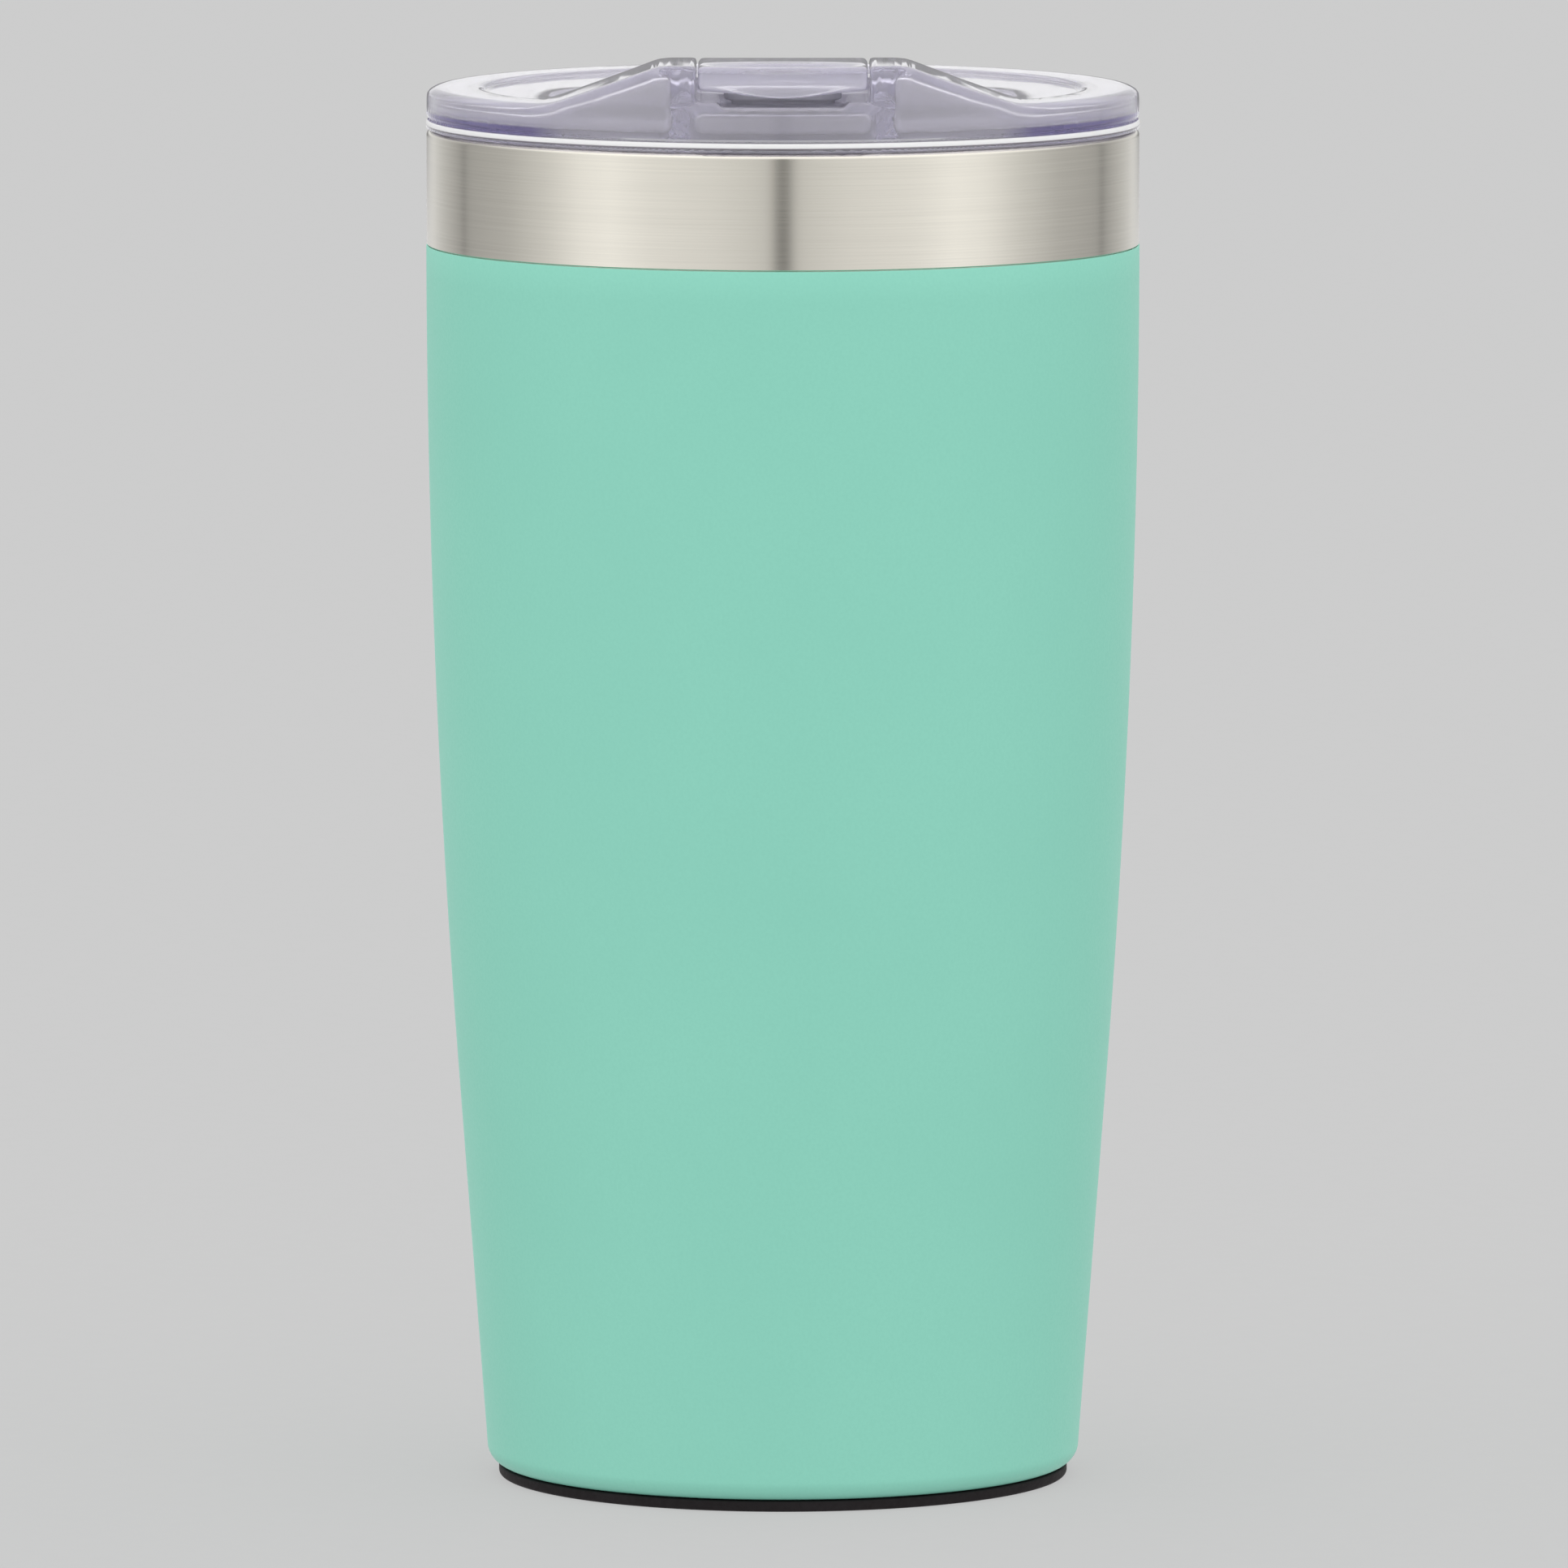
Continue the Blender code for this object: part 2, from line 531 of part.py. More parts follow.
def lid_shell():
    """The clear lid: turned flange and skirt, the raised ramp, the flap's channel, sip and vent holes."""
    lid = deck_and_skirt()
    ramp = ramp_slab("ramp", 0.0, DECK_Z - 5 * MM)
    combine(ramp, front_limit("ramp_front", DECK_Z - 4 * MM, CREST_Z + 1 * MM), "INTERSECT")
    combine(lid, ramp, "UNION")
    hollow_out(lid)

    tub = ramp_box("tub", CHANNEL_HALF + CHANNEL_WALL, -BEYOND, CHANNEL_END_Y + CHANNEL_WALL,
                   -LID_SKIN / 2, -CHANNEL_DEPTH - CHANNEL_FLOOR)
    combine(tub, cylinder_tool("tub_limit", FLANGE_INSIDE + 1 * MM, SKIRT_Z, CREST_Z + 2 * MM), "INTERSECT")
    combine(lid, tub, "UNION")
    for side in (1, -1):
        combine(lid, channel_wall(side), "UNION")
    channel = ramp_box("channel", CHANNEL_HALF, -BEYOND, CHANNEL_END_Y, 5 * MM, -CHANNEL_DEPTH)
    combine(lid, channel, "DIFFERENCE")
    pour_end = SIP_Y + SIP_RADIUS + 1 * MM
    pour = ramp_box("pour", POUR_HALF, -BEYOND, pour_end, 0.0, -CHANNEL_DEPTH - POUR_DEPTH)
    combine(lid, pour, "DIFFERENCE")

    through = CHANNEL_DEPTH + POUR_DEPTH + CHANNEL_FLOOR + 2 * MM
    sip = stadium("sip", SIP_HALF_SPACING, [(SIP_RADIUS, -through), (SIP_RADIUS, 0)])
    combine(lid, square_to_ramp(sip, SIP_Y), "DIFFERENCE")
    vent = turned("vent", [(0, -through), (VENT_RADIUS, -through), (VENT_RADIUS, 0), (0, 0)],
                  segments=PIN_SEGMENTS)
    combine(lid, square_to_ramp(vent, VENT_Y), "DIFFERENCE")
    for side in (1, -1):
        reach = sorted((side * (CHANNEL_HALF - 1 * MM), side * (STUB_REACH + ASSEMBLY_GAP)))
        combine(lid, rod("socket", STUB_RADIUS + STUB_CLEARANCE, *reach, PIVOT_Y, PIVOT_Z), "DIFFERENCE")
    return lid


def channel_wall(side):
    """Upright wall along one side of the channel, which hangs from the ramp down into the lid."""
    overlap = 0.02 * MM
    y_to = CHANNEL_END_Y + CHANNEL_WALL - overlap
    top = ramp_line(-BEYOND, y_to, -LID_SKIN / 2 - overlap)
    outline = [(y_to, CHANNEL_WALL_Z), (-BEYOND, CHANNEL_WALL_Z)] + top
    wall = prism("channel_wall", outline, CHANNEL_WALL / 2)
    wall.data.transform(Matrix.Translation((side * (CHANNEL_HALF + CHANNEL_WALL / 2 - overlap), 0, 0)))
    reach = FLANGE_INSIDE + 0.8 * MM
    return combine(wall, cylinder_tool("wall_limit", reach, SKIRT_Z, CREST_Z + 2 * MM), "INTERSECT")


def hollow_out(lid):
    """Leaves an even skin under the deck and the ramp, and opens out above the ring at the flange's foot."""
    foot_top = LID_SEAT_Z + FLANGE_FOOT
    well = ramp_slab("well", LID_SKIN, SKIRT_Z - 5 * MM)
    below = SKIRT_Z - 4 * MM
    limit = turned("well_limit", [(0, below), (SKIRT_INSIDE, below), (SKIRT_INSIDE, foot_top),
                                  (FLANGE_INSIDE, foot_top), (FLANGE_INSIDE, CREST_Z), (0, CREST_Z)])
    combine(well, limit, "INTERSECT")
    combine(lid, well, "DIFFERENCE")


def lid_seal():
    """Silicone ring in the skirt's groove, with two lips that wipe the liner's mouth."""
    low, high = GROOVE_Z[0] + ASSEMBLY_GAP, GROOVE_Z[1] - ASSEMBLY_GAP
    r_in, r_body, r_lip = GROOVE_RADIUS + ASSEMBLY_GAP, SKIRT_RADIUS + 0.2 * MM, MOUTH_RADIUS - ASSEMBLY_GAP
    outline = [(r_in, low), (r_body, low)]
    for lip in range(2):
        foot = low + SEAL_LIP_EDGE + lip * SEAL_LIP_SPACING
        edge = foot + SEAL_LIP_RISE
        outline += [(r_body, foot), (r_lip, edge), (r_lip, edge + SEAL_LIP_EDGE), (r_body, edge + 0.5 * MM)]
    outline += [(r_body, high), (r_in, high)]
    return turned("lid_seal", outline, "silicone")


# ---------------------------------------------------------------- flap

def hung_on_pivot(obj):
    """Puts the object's origin on the flap's axis without moving the object."""
    obj.data.transform(Matrix.Translation((0, -PIVOT_Y, -PIVOT_Z)))
    obj.location = (0, PIVOT_Y, PIVOT_Z)
    return obj


def flap_outline():
    """Side view of the flap: a barrel on the pivot, a plate that follows the ramp, and a thick nose."""
    tilt = math.degrees(plateau_angle(PIVOT_Y))
    below_axis = FLAP_THICKNESS * math.cos(math.radians(tilt)) - BARREL_RADIUS
    meets_plate = -180 + math.degrees(math.asin(below_axis / BARREL_RADIUS)) - tilt
    barrel = arc(PIVOT_Y, PIVOT_Z, BARREL_RADIUS, 90 - tilt, meets_plate, 9)
    nose_y = NOSE_LENGTH - flange_radius(CREST_Z)
    under = ramp_line(nose_y + 0.8 * MM, barrel[-1][0] - 0.5 * MM, -FLAP_THICKNESS)
    nose = [(-BEYOND, CREST_Z), (-BEYOND, CREST_Z - NOSE_THICKNESS), (nose_y, CREST_Z - NOSE_THICKNESS)]
    return barrel + under[::-1] + nose[::-1] + ramp_line(-BEYOND, barrel[0][0], 0)[1:-1]


def drinking_flap():
    """The clear flap, its nose flush with the lid's front, with stubs on its axis and the plug's boss."""
    flap = prism("drinking_flap", flap_outline(), FLAP_HALF, "clear_plastic")
    combine(flap, front_limit("front", DECK_Z - 4 * MM, CREST_Z + 1 * MM), "INTERSECT")
    for side in (1, -1):
        reach = sorted((side * (FLAP_HALF - 1 * MM), side * STUB_REACH))
        combine(flap, rod("stub", STUB_RADIUS, *reach, PIVOT_Y, PIVOT_Z), "UNION")
    boss_levels = [(BOSS_RADIUS, -FLAP_THICKNESS - BOSS_HEIGHT), (BOSS_RADIUS, 1 * MM - FLAP_THICKNESS)]
    boss = stadium("boss", SIP_HALF_SPACING - 1 * MM, boss_levels)
    combine(flap, square_to_ramp(boss, SIP_Y), "UNION")
    return hung_on_pivot(flap)


def sip_plug():
    """Silicone plug pressed on the flap's boss, which fills the sip hole when the flap is shut."""
    top = -FLAP_THICKNESS - LAYER_GAP
    seat = -CHANNEL_DEPTH - POUR_DEPTH + ASSEMBLY_GAP
    tip = seat - PLUG_DEPTH
    tip_radius, seat_radius = SIP_RADIUS - ASSEMBLY_GAP, SIP_RADIUS + PLUG_OVERLAP
    levels = [(tip_radius - PLUG_TAPER, tip), (tip_radius, seat - PLUG_DEPTH / 2), (tip_radius, seat),
              (seat_radius, seat + LAYER_GAP), (seat_radius, top)]
    plug = square_to_ramp(stadium("sip_plug", SIP_HALF_SPACING, levels, "silicone"), SIP_Y)
    pocket_radius = BOSS_RADIUS + 0.1 * MM
    pocket_levels = [(pocket_radius, top - BOSS_HEIGHT - 0.1 * MM), (pocket_radius, top + 1 * MM)]
    pocket = stadium("pocket", SIP_HALF_SPACING - 1 * MM, pocket_levels)
    combine(plug, square_to_ramp(pocket, SIP_Y), "DIFFERENCE")
    return hung_on_pivot(plug)


def vent_plug():
    """Silicone button under the flap that covers the vent hole when the flap is shut."""
    top = -FLAP_THICKNESS - LAYER_GAP
    low = -CHANNEL_DEPTH + ASSEMBLY_GAP
    radius, edge = VENT_RADIUS + VENT_OVERLAP, 0.4 * MM
    outline = [(0, low), (radius - edge, low), (radius, low + edge), (radius, top), (0, top)]
    plug = turned("vent_plug", outline, "silicone", PIN_SEGMENTS)
    return hung_on_pivot(square_to_ramp(plug, VENT_Y))


# ---------------------------------------------------------------- build

def build():
    clear_scene()
    pieces = [
        powder_coat(), outer_shell(), inner_liner(), copper_foil(), outer_base(), vacuum_seal(),
        getter_cup(), getter_pill(), base_pad(), pad_tape(),
        lid_shell(), lid_seal(), drinking_flap(), sip_plug(), vent_plug(),
    ]
    for piece in pieces:
        shade_round(piece)


build()
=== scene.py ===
"""Looks for the vacuum-insulated tumbler: finished surfaces, materials, light and camera.

Everything is in metres in the CAD's frame: +Z up, the drinking side towards -Y, and the foot's centre at the
origin.
"""

import math

import bmesh
import bpy
import numpy as np
import openvdb
from mathutils import Matrix, Vector


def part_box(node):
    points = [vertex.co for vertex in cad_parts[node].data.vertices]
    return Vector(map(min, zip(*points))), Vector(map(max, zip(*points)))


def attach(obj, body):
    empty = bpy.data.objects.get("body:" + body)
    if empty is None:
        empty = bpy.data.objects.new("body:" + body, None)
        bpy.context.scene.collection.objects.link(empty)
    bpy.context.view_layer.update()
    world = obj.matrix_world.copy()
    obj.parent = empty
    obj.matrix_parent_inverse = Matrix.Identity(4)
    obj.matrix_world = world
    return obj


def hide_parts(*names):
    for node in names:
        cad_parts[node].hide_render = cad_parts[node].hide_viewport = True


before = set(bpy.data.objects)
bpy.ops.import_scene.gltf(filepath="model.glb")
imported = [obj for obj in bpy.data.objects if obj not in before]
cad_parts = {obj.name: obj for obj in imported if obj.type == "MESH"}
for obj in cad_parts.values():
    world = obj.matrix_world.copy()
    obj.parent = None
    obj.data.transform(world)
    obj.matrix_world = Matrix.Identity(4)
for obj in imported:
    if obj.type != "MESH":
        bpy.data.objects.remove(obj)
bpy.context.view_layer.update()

MM = 0.001


def top_of(node):
    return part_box(node)[1].z


def bottom_of(node):
    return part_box(node)[0].z


def radius_of(node):
    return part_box(node)[1].x


# ---------------------------------------------------------------- dimensions

ROUND_STEPS = 256                 # sides of a finished turned surface
SMOOTH_ALL = 180.0                # angle above which an edge stays sharp, in degrees: none does
ON_AXIS = 1e-6                    # a point nearer the axis than this lies on it
SAME_PLACE = 1e-7                 # points nearer each other than this are one

# Spacing of the sample points and number of triangles of the moulded pieces
LID_CELL = 0.3 * MM
LID_TRIANGLES = 180000
FLAP_CELL = 0.2 * MM
FLAP_TRIANGLES = 60000
PLUG_CELL = 0.12 * MM
PLUG_TRIANGLES = 30000

# Body, in step with the CAD
BODY_RADIUS = radius_of("powder_coat")
COAT_EDGE_Z = top_of("powder_coat")
COAT_FOOT_Z = bottom_of("powder_coat")
LIP_Z = top_of("outer_shell")
WIDEST_Z = 156.0 * MM
STRAIGHT_Z = 51.0 * MM
BOW = 0.355                       # inward bow of the upper body, per metre of drop squared
FOOT_ROUND = 2.6 * MM
COAT = 0.2 * MM
LAYER_GAP = 0.05 * MM
STEEL = 0.6 * MM
LINER_STEEL = 0.5 * MM
LIP_ROUND = 0.7 * MM
LIP_SEAM_RADIUS = 42.95 * MM
MOUTH_RADIUS = 41.3 * MM
MOUTH_LEDGE_Z = 155.4 * MM
LINER_FLOOR_Z = 12.0 * MM
LINER_CORNER = 7.0 * MM
LINER_INSET = COAT + LAYER_GAP + STEEL + 3.0 * MM + LINER_STEEL
FOOT_OPENING = 33.0 * MM

PAD_RADIUS = radius_of("base_pad")
PAD_HEIGHT = top_of("base_pad")

# Lid
SEAT_Z = LIP_Z + 0.3 * MM
DECK_Z = 174.6 * MM
RECESS_Z = 173.8 * MM
CREST_Z = top_of("lid_shell")
FLANGE_RADIUS = radius_of("lid_shell")
FLANGE_DRAFT = 0.0354
RECESS_RADIUS = 37.5 * MM
LID_SKIN = 1.5 * MM
FLANGE_INSIDE = 41.9 * MM
FLANGE_FOOT = 2.0 * MM
SKIRT_RADIUS = 39.8 * MM
SKIRT_INSIDE = 36.8 * MM
SKIRT_Z = bottom_of("lid_shell")
SKIRT_TOP_Z = DECK_Z - 2.0 * MM
GROOVE_RADIUS = 38.4 * MM
GROOVE_LOW = 160.4 * MM
GROOVE_HIGH = 165.4 * MM
RAMP_TOP_Y = -28.5 * MM
RAMP_END_Y = 10.0 * MM
PLATEAU_HALF = 14.2 * MM
CREST_ROUND = 5.0 * MM
FOOT_FAIR = 14.0 * MM
SHOULDER_ANGLE = math.radians(21.0)
CHANNEL_HALF = 10.65 * MM
CHANNEL_DEPTH = 4.4 * MM
CHANNEL_END_Y = 4.0 * MM
CHANNEL_WALL = 2.5 * MM
CHANNEL_WALL_Z = 170.6 * MM
CHANNEL_FLOOR = 1.6 * MM
POUR_HALF = 7.8 * MM
POUR_DEPTH = 0.6 * MM
SIP_Y = -32.5 * MM
SIP_HALF_SPACING = 3.5 * MM
SIP_RADIUS = 3.25 * MM
VENT_Y = -17.0 * MM
VENT_RADIUS = 0.9 * MM

# Bead round the foot of the flange
FOOT_Z = LIP_Z + 0.1 * MM         # the finished foot stands just clear of the lip
BEAD_RADIUS = 0.25 * MM
BEAD_Z = SEAT_Z + 0.48 * MM + BEAD_RADIUS
UNDER_BEAD = 0.22 * MM            # height of the painted shade line below the bead
BEAD_GROOVE = 0.25 * MM
LINE_Z = SEAT_Z + 1.35 * MM       # faint line above the bead, whitened in the material as a painted highlight

# Flap
PIVOT_Y = -9.0 * MM
PIVOT_Z = 174.8 * MM
BARREL_RADIUS = 2.0 * MM
STUB_RADIUS = 1.5 * MM
STUB_REACH = 12.2 * MM
FLAP_HALF = 10.45 * MM
FLAP_THICKNESS = 2.4 * MM
NOSE_THICKNESS = 3.0 * MM
NOSE_BELLY = 0.9 * MM             # how far the nose's underside hangs lower in the middle
NOSE_LENGTH = 4.0 * MM
DISH_HALF_WIDTH = 8.6 * MM        # thumb dish in the nose
DISH_HALF_LENGTH = 3.8 * MM
DISH_DEPTH = 1.4 * MM
DISH_Y = -38.6 * MM
BOSS_DROP = 1.5 * MM              # the boss that holds the sip plug reaches this far below the plate
PLUG_GAP = 0.05 * MM              # between the plugs and the plate
PLUG_SEAT_GAP = 0.3 * MM          # between the plugs and the floor under them


# ---------------------------------------------------------------- shader helpers

class Shader:
    """A material's node tree, with short calls for the nodes that the materials below share."""

    def __init__(self, name):
        self.material = bpy.data.materials.new(name)
        self.material.use_nodes = True
        self.tree = self.material.node_tree
        self.surface = self.tree.nodes["Principled BSDF"]
        self.place = self.add("ShaderNodeTexCoord").outputs["Object"]

    def add(self, kind, **settings):
        node = self.tree.nodes.new(kind)
        for key, value in settings.items():
            setattr(node, key, value)
        return node

    def link(self, source, target):
        self.tree.links.new(source, target)

    def feed(self, socket, value):
        """Sets a socket to a value, or links it to another node's output."""
        if isinstance(value, bpy.types.NodeSocket):
            self.link(value, socket)
        else:
            socket.default_value = value

    def set(self, **inputs):
        """Sets or links the surface's inputs, named in lower case with underscores."""
        sockets = {socket.name.lower().replace(" ", "_"): socket for socket in self.surface.inputs}
        for key, value in inputs.items():
            self.feed(sockets[key], value)

    def stretched(self, x, y, z):
        node = self.add("ShaderNodeMapping")
        self.link(self.place, node.inputs["Vector"])
        node.inputs["Scale"].default_value = (x, y, z)
        return node.outputs["Vector"]

    def axis(self, name):
        """One coordinate of the shaded point, in the CAD's frame."""
        node = self.add("ShaderNodeSeparateXYZ")
        self.link(self.place, node.inputs["Vector"])
        return node.outputs[name]

    def noise(self, scale, detail=2.0, roughness=0.5, vector=None):
        node = self.add("ShaderNodeTexNoise")
        self.link(vector or self.place, node.inputs["Vector"])
        node.inputs["Scale"].default_value = scale
        node.inputs["Detail"].default_value = detail
        node.inputs["Roughness"].default_value = roughness
        return node.outputs["Fac"]

    def ramp(self, factor, low, high, low_value, high_value):
        """Maps a factor from low..high to low_value..high_value."""
        node = self.add("ShaderNodeMapRange")
        self.link(factor, node.inputs["Value"])
        node.inputs["From Min"].default_value = low
        node.inputs["From Max"].default_value = high
        node.inputs["To Min"].default_value = low_value
        node.inputs["To Max"].default_value = high_value
        return node.outputs["Result"]

    def band(self, factor, low, high, edge):
        """One between low and high, fading to zero over the edge's width on either side."""
        return self.math("MINIMUM", self.ramp(factor, low - edge, low, 0.0, 1.0),
                         self.ramp(factor, high, high + edge, 1.0, 0.0))

    def mix(self, factor, first, second):
        node = self.add("ShaderNodeMix", data_type="RGBA")
        self.feed(node.inputs["Factor"], factor)
        self.feed(node.inputs["A"], first)
        self.feed(node.inputs["B"], second)
        return node.outputs["Result"]

    def math(self, operation, first, second=0.0):
        node = self.add("ShaderNodeMath", operation=operation)
        self.feed(node.inputs[0], first)
        self.feed(node.inputs[1], second)
        return node.outputs["Value"]

    def bump(self, height, strength, distance, normal=None):
        node = self.add("ShaderNodeBump")
        self.link(height, node.inputs["Height"])
        node.inputs["Strength"].default_value = strength
        node.inputs["Distance"].default_value = distance
        if normal:
            self.link(normal, node.inputs["Normal"])
        return node.outputs["Normal"]


def rgb(red, green, blue):
    return (red, green, blue, 1.0)


# ---------------------------------------------------------------- materials

def powder_coat_material():
    """Satin mint powder coat: an even colour with a very fine orange-peel grain."""
    s = Shader("mint_powder_coat")
    cloud = s.noise(35.0, 3.0)
    fine = s.noise(2600.0, 2.0)
    peel = s.noise(900.0, 2.0)
    base = s.mix(s.ramp(cloud, 0.3, 0.7, 0.0, 1.0), rgb(0.289, 0.732, 0.584), rgb(0.301, 0.752, 0.600))
    colour = s.mix(s.ramp(fine, 0.35, 0.7, 0.0, 0.35), base, rgb(0.269, 0.697, 0.553))
    grain = s.bump(fine, 0.10, 0.03 * MM)
    s.set(base_color=colour, roughness=s.ramp(fine, 0.3, 0.7, 0.46, 0.58),
          normal=s.bump(peel, 0.10, 0.05 * MM, grain))
    return s.material


def brushed_steel_material(name, tint, roughness, lines_per_metre=5200.0, shade_above=1.0):
    """Stainless steel with fine brush lines that run round the axis, and painted shade above the given height.
    """
    s = Shader(name)
    lines = s.noise(1.0, 4.0, 0.65, s.stretched(22.0, 22.0, lines_per_metre))
    broad = s.noise(1.0, 2.0, 0.5, s.stretched(9.0, 9.0, lines_per_metre / 7))
    cloud = s.noise(40.0, 2.0)
    dark = tuple(0.93 * channel for channel in tint)
    colour = s.mix(s.ramp(lines, 0.3, 0.7, 0.0, 1.0), rgb(*dark), rgb(*tint))
    # painted shade: the steel darkens above this height, standing in for the lid's contact shadow on the lip
    lip_shade = s.ramp(s.axis("Z"), shade_above, shade_above + 0.1 * MM, 0.0, 0.6)
    colour = s.mix(lip_shade, colour, rgb(0.10, 0.09, 0.09))
    spread = s.math("ADD", s.ramp(lines, 0.3, 0.7, roughness - 0.03, roughness + 0.03),
                    s.ramp(cloud, 0.3, 0.7, -0.015, 0.015))
    fine = s.bump(lines, 0.05, 0.02 * MM)
    tangent = s.add("ShaderNodeTangent", direction_type="RADIAL", axis="Z")
    s.set(base_color=colour, metallic=1.0, roughness=spread, anisotropic=0.92, anisotropic_rotation=0.25,
          normal=s.bump(broad, 0.02, 0.03 * MM, fine), tangent=tangent.outputs["Tangent"])
    return s.material


INSIDE_MARK = "inside"            # point value: 1 on a moulded piece's inner faces
INNER_BLUR = 0.16                 # extra roughness there, where the mould isn't polished
HAZE = 0.20                       # share of the light that the plastic scatters
INNER_HAZE = 0.30                 # the same on its inner faces
FOOT_TINT = (0.40, 0.35, 0.70)    # deeper colour where the flange's foot is solid
UNDER_SHADE = (0.30, 0.28, 0.31)  # colour of the painted shade line under the foot's bead
UNDER_HAZE = 0.5                  # share of the light that the painted shade line scatters
GLINT_HAZE = 0.9                  # share of the light that the bead and the line above it scatter; the bead is moulded, its whitening is painted highlight
GLINT_BLUR = 0.3                  # extra roughness there
PLATEAU_LEAN = 0.020              # lean of the ramp's flat top in the shading, as a slope


def foot_masks(s):
    """Where the flange's foot has painted shade under its bead, where its bead and the line above it are
    whitened as a painted highlight, and where it is solid.
    """
    height = s.axis("Z")
    outward = s.math("ABSOLUTE", s.axis("X"))
    bead_low = BEAD_Z - BEAD_RADIUS
    under = s.band(height, bead_low - UNDER_BEAD, bead_low, 0.05 * MM)
    bead = s.band(height, bead_low, BEAD_Z + BEAD_RADIUS, 0.1 * MM)
    line = s.band(height, LINE_Z - 0.1 * MM, LINE_Z + 0.1 * MM, 0.05 * MM)
    line = s.math("MULTIPLY", line, s.ramp(outward, 19 * MM, 22 * MM, 0.5, 0.0))
    solid = s.band(height, SEAT_Z + 1.05 * MM, SEAT_Z + FLANGE_FOOT + 0.1 * MM, 0.2 * MM)
    solid = s.math("MULTIPLY", solid, s.ramp(outward, 27 * MM, 31 * MM, 0.0, 1.0))
    return under, s.math("MAXIMUM", bead, line), solid


def plateau_lean(s):
    """Height for a bump node that leans the ramp's flat top a little."""
    lean = s.math("MULTIPLY", s.math("ADD", s.axis("Y"), FLANGE_RADIUS), -PLATEAU_LEAN)
    near_crest = s.ramp(s.axis("Z"), CREST_Z - 4 * MM, CREST_Z - 1 * MM, 0.0, 1.0)
    return s.math("MULTIPLY", lean, near_crest)


def clear_plastic_material(name, tint, density):
    """Clear moulded plastic with a faint lavender tint, slight flow ripples and hairline scratches."""
    s = Shader(name)
    flow = s.noise(55.0, 2.0)
    scratches = s.noise(1.0, 3.0, 0.7, s.stretched(900.0, 90.0, 900.0))
    colour = s.mix(s.ramp(flow, 0.3, 0.7, 0.0, 1.0), rgb(0.948, 0.932, 1.0), rgb(0.938, 0.922, 0.995))
    rippled = s.bump(flow, 0.04, 0.3 * MM)
    inner = s.add("ShaderNodeAttribute", attribute_name=INSIDE_MARK).outputs["Fac"]
    polish = s.ramp(scratches, 0.40, 0.75, 0.03, 0.09)
    under, glint_lines, solid = foot_masks(s)
    colour = s.mix(solid, colour, rgb(*FOOT_TINT))
    # painted shade: a dark line under the bead, standing in for the contact shadow above the lip
    colour = s.mix(under, colour, rgb(*UNDER_SHADE))
    # painted highlight: the bead and the line above it are whitened
    colour = s.mix(glint_lines, colour, rgb(1.0, 1.0, 1.0))
    blur = s.math("ADD", polish, s.math("MULTIPLY", inner, INNER_BLUR))
    haze = s.ramp(inner, 0.0, 1.0, HAZE, INNER_HAZE)
    haze = s.math("MAXIMUM", haze, s.math("MULTIPLY", glint_lines, GLINT_HAZE))
    haze = s.math("MAXIMUM", haze, s.math("MULTIPLY", under, UNDER_HAZE))
    leaned = s.bump(plateau_lean(s), 1.0, 1.0, rippled)
    s.set(base_color=colour, ior=1.49, transmission_weight=s.math("SUBTRACT", 1.0, haze),
          roughness=s.math("ADD", blur, s.math("MULTIPLY", glint_lines, GLINT_BLUR)),
          normal=s.bump(scratches, 0.015, 0.02 * MM, leaned))
    inside = s.add("ShaderNodeVolumeAbsorption")
    inside.inputs["Color"].default_value = rgb(*tint)
    inside.inputs["Density"].default_value = density
    s.link(inside.outputs["Volume"], s.tree.nodes["Material Output"].inputs["Volume"])
    return s.material


def silicone_material():
    """Milky food-grade silicone with a soft satin surface."""
    s = Shader("milky_silicone")
    grain = s.noise(1800.0, 3.0)
    cloud = s.noise(120.0, 2.0)
    colour = s.mix(s.ramp(cloud, 0.3, 0.7, 0.0, 1.0), rgb(0.80, 0.80, 0.83), rgb(0.86, 0.86, 0.88))
    s.set(base_color=colour, roughness=s.ramp(grain, 0.3, 0.7, 0.32, 0.45), ior=1.41,
          transmission_weight=0.55, normal=s.bump(grain, 0.08, 0.03 * MM))
    return s.material


def rubber_material():
    """Black non-slip rubber with a fine moulded grain."""
    s = Shader("black_rubber")
    grain = s.noise(1500.0, 4.0, 0.6)
    dust = s.noise(60.0, 3.0)
    colour = s.mix(s.ramp(dust, 0.45, 0.8, 0.0, 1.0), rgb(0.012, 0.009, 0.010), rgb(0.020, 0.016, 0.018))
    s.set(base_color=colour, roughness=s.ramp(grain, 0.3, 0.7, 0.6, 0.8), specular_ior_level=0.22,
          normal=s.bump(grain, 0.25, 0.05 * MM))
    return s.material


def copper_material():
    """Bright copper foil, softly crinkled where it is wrapped."""
    s = Shader("copper_foil_wrap")
    crinkle = s.noise(160.0, 3.0)
    spots = s.noise(45.0, 2.0)
    colour = s.mix(s.ramp(spots, 0.4, 0.7, 0.0, 1.0), rgb(0.86, 0.47, 0.32), rgb(0.70, 0.36, 0.24))
    s.set(base_color=colour, metallic=1.0, roughness=s.ramp(crinkle, 0.3, 0.7, 0.18, 0.32),
          normal=s.bump(crinkle, 0.3, 0.3 * MM))
    return s.material


def tape_material():
    """Paper-backed adhesive tape with visible fibres."""
    s = Shader("adhesive_tape")
    fibres = s.noise(1.0, 4.0, 0.6, s.stretched(400.0, 2500.0, 400.0))
    colour = s.mix(s.ramp(fibres, 0.35, 0.65, 0.0, 1.0), rgb(0.68, 0.65, 0.58), rgb(0.80, 0.78, 0.72))
    s.set(base_color=colour, roughness=s.ramp(fibres, 0.3, 0.7, 0.5, 0.7),
          normal=s.bump(fibres, 0.2, 0.05 * MM))
    return s.material


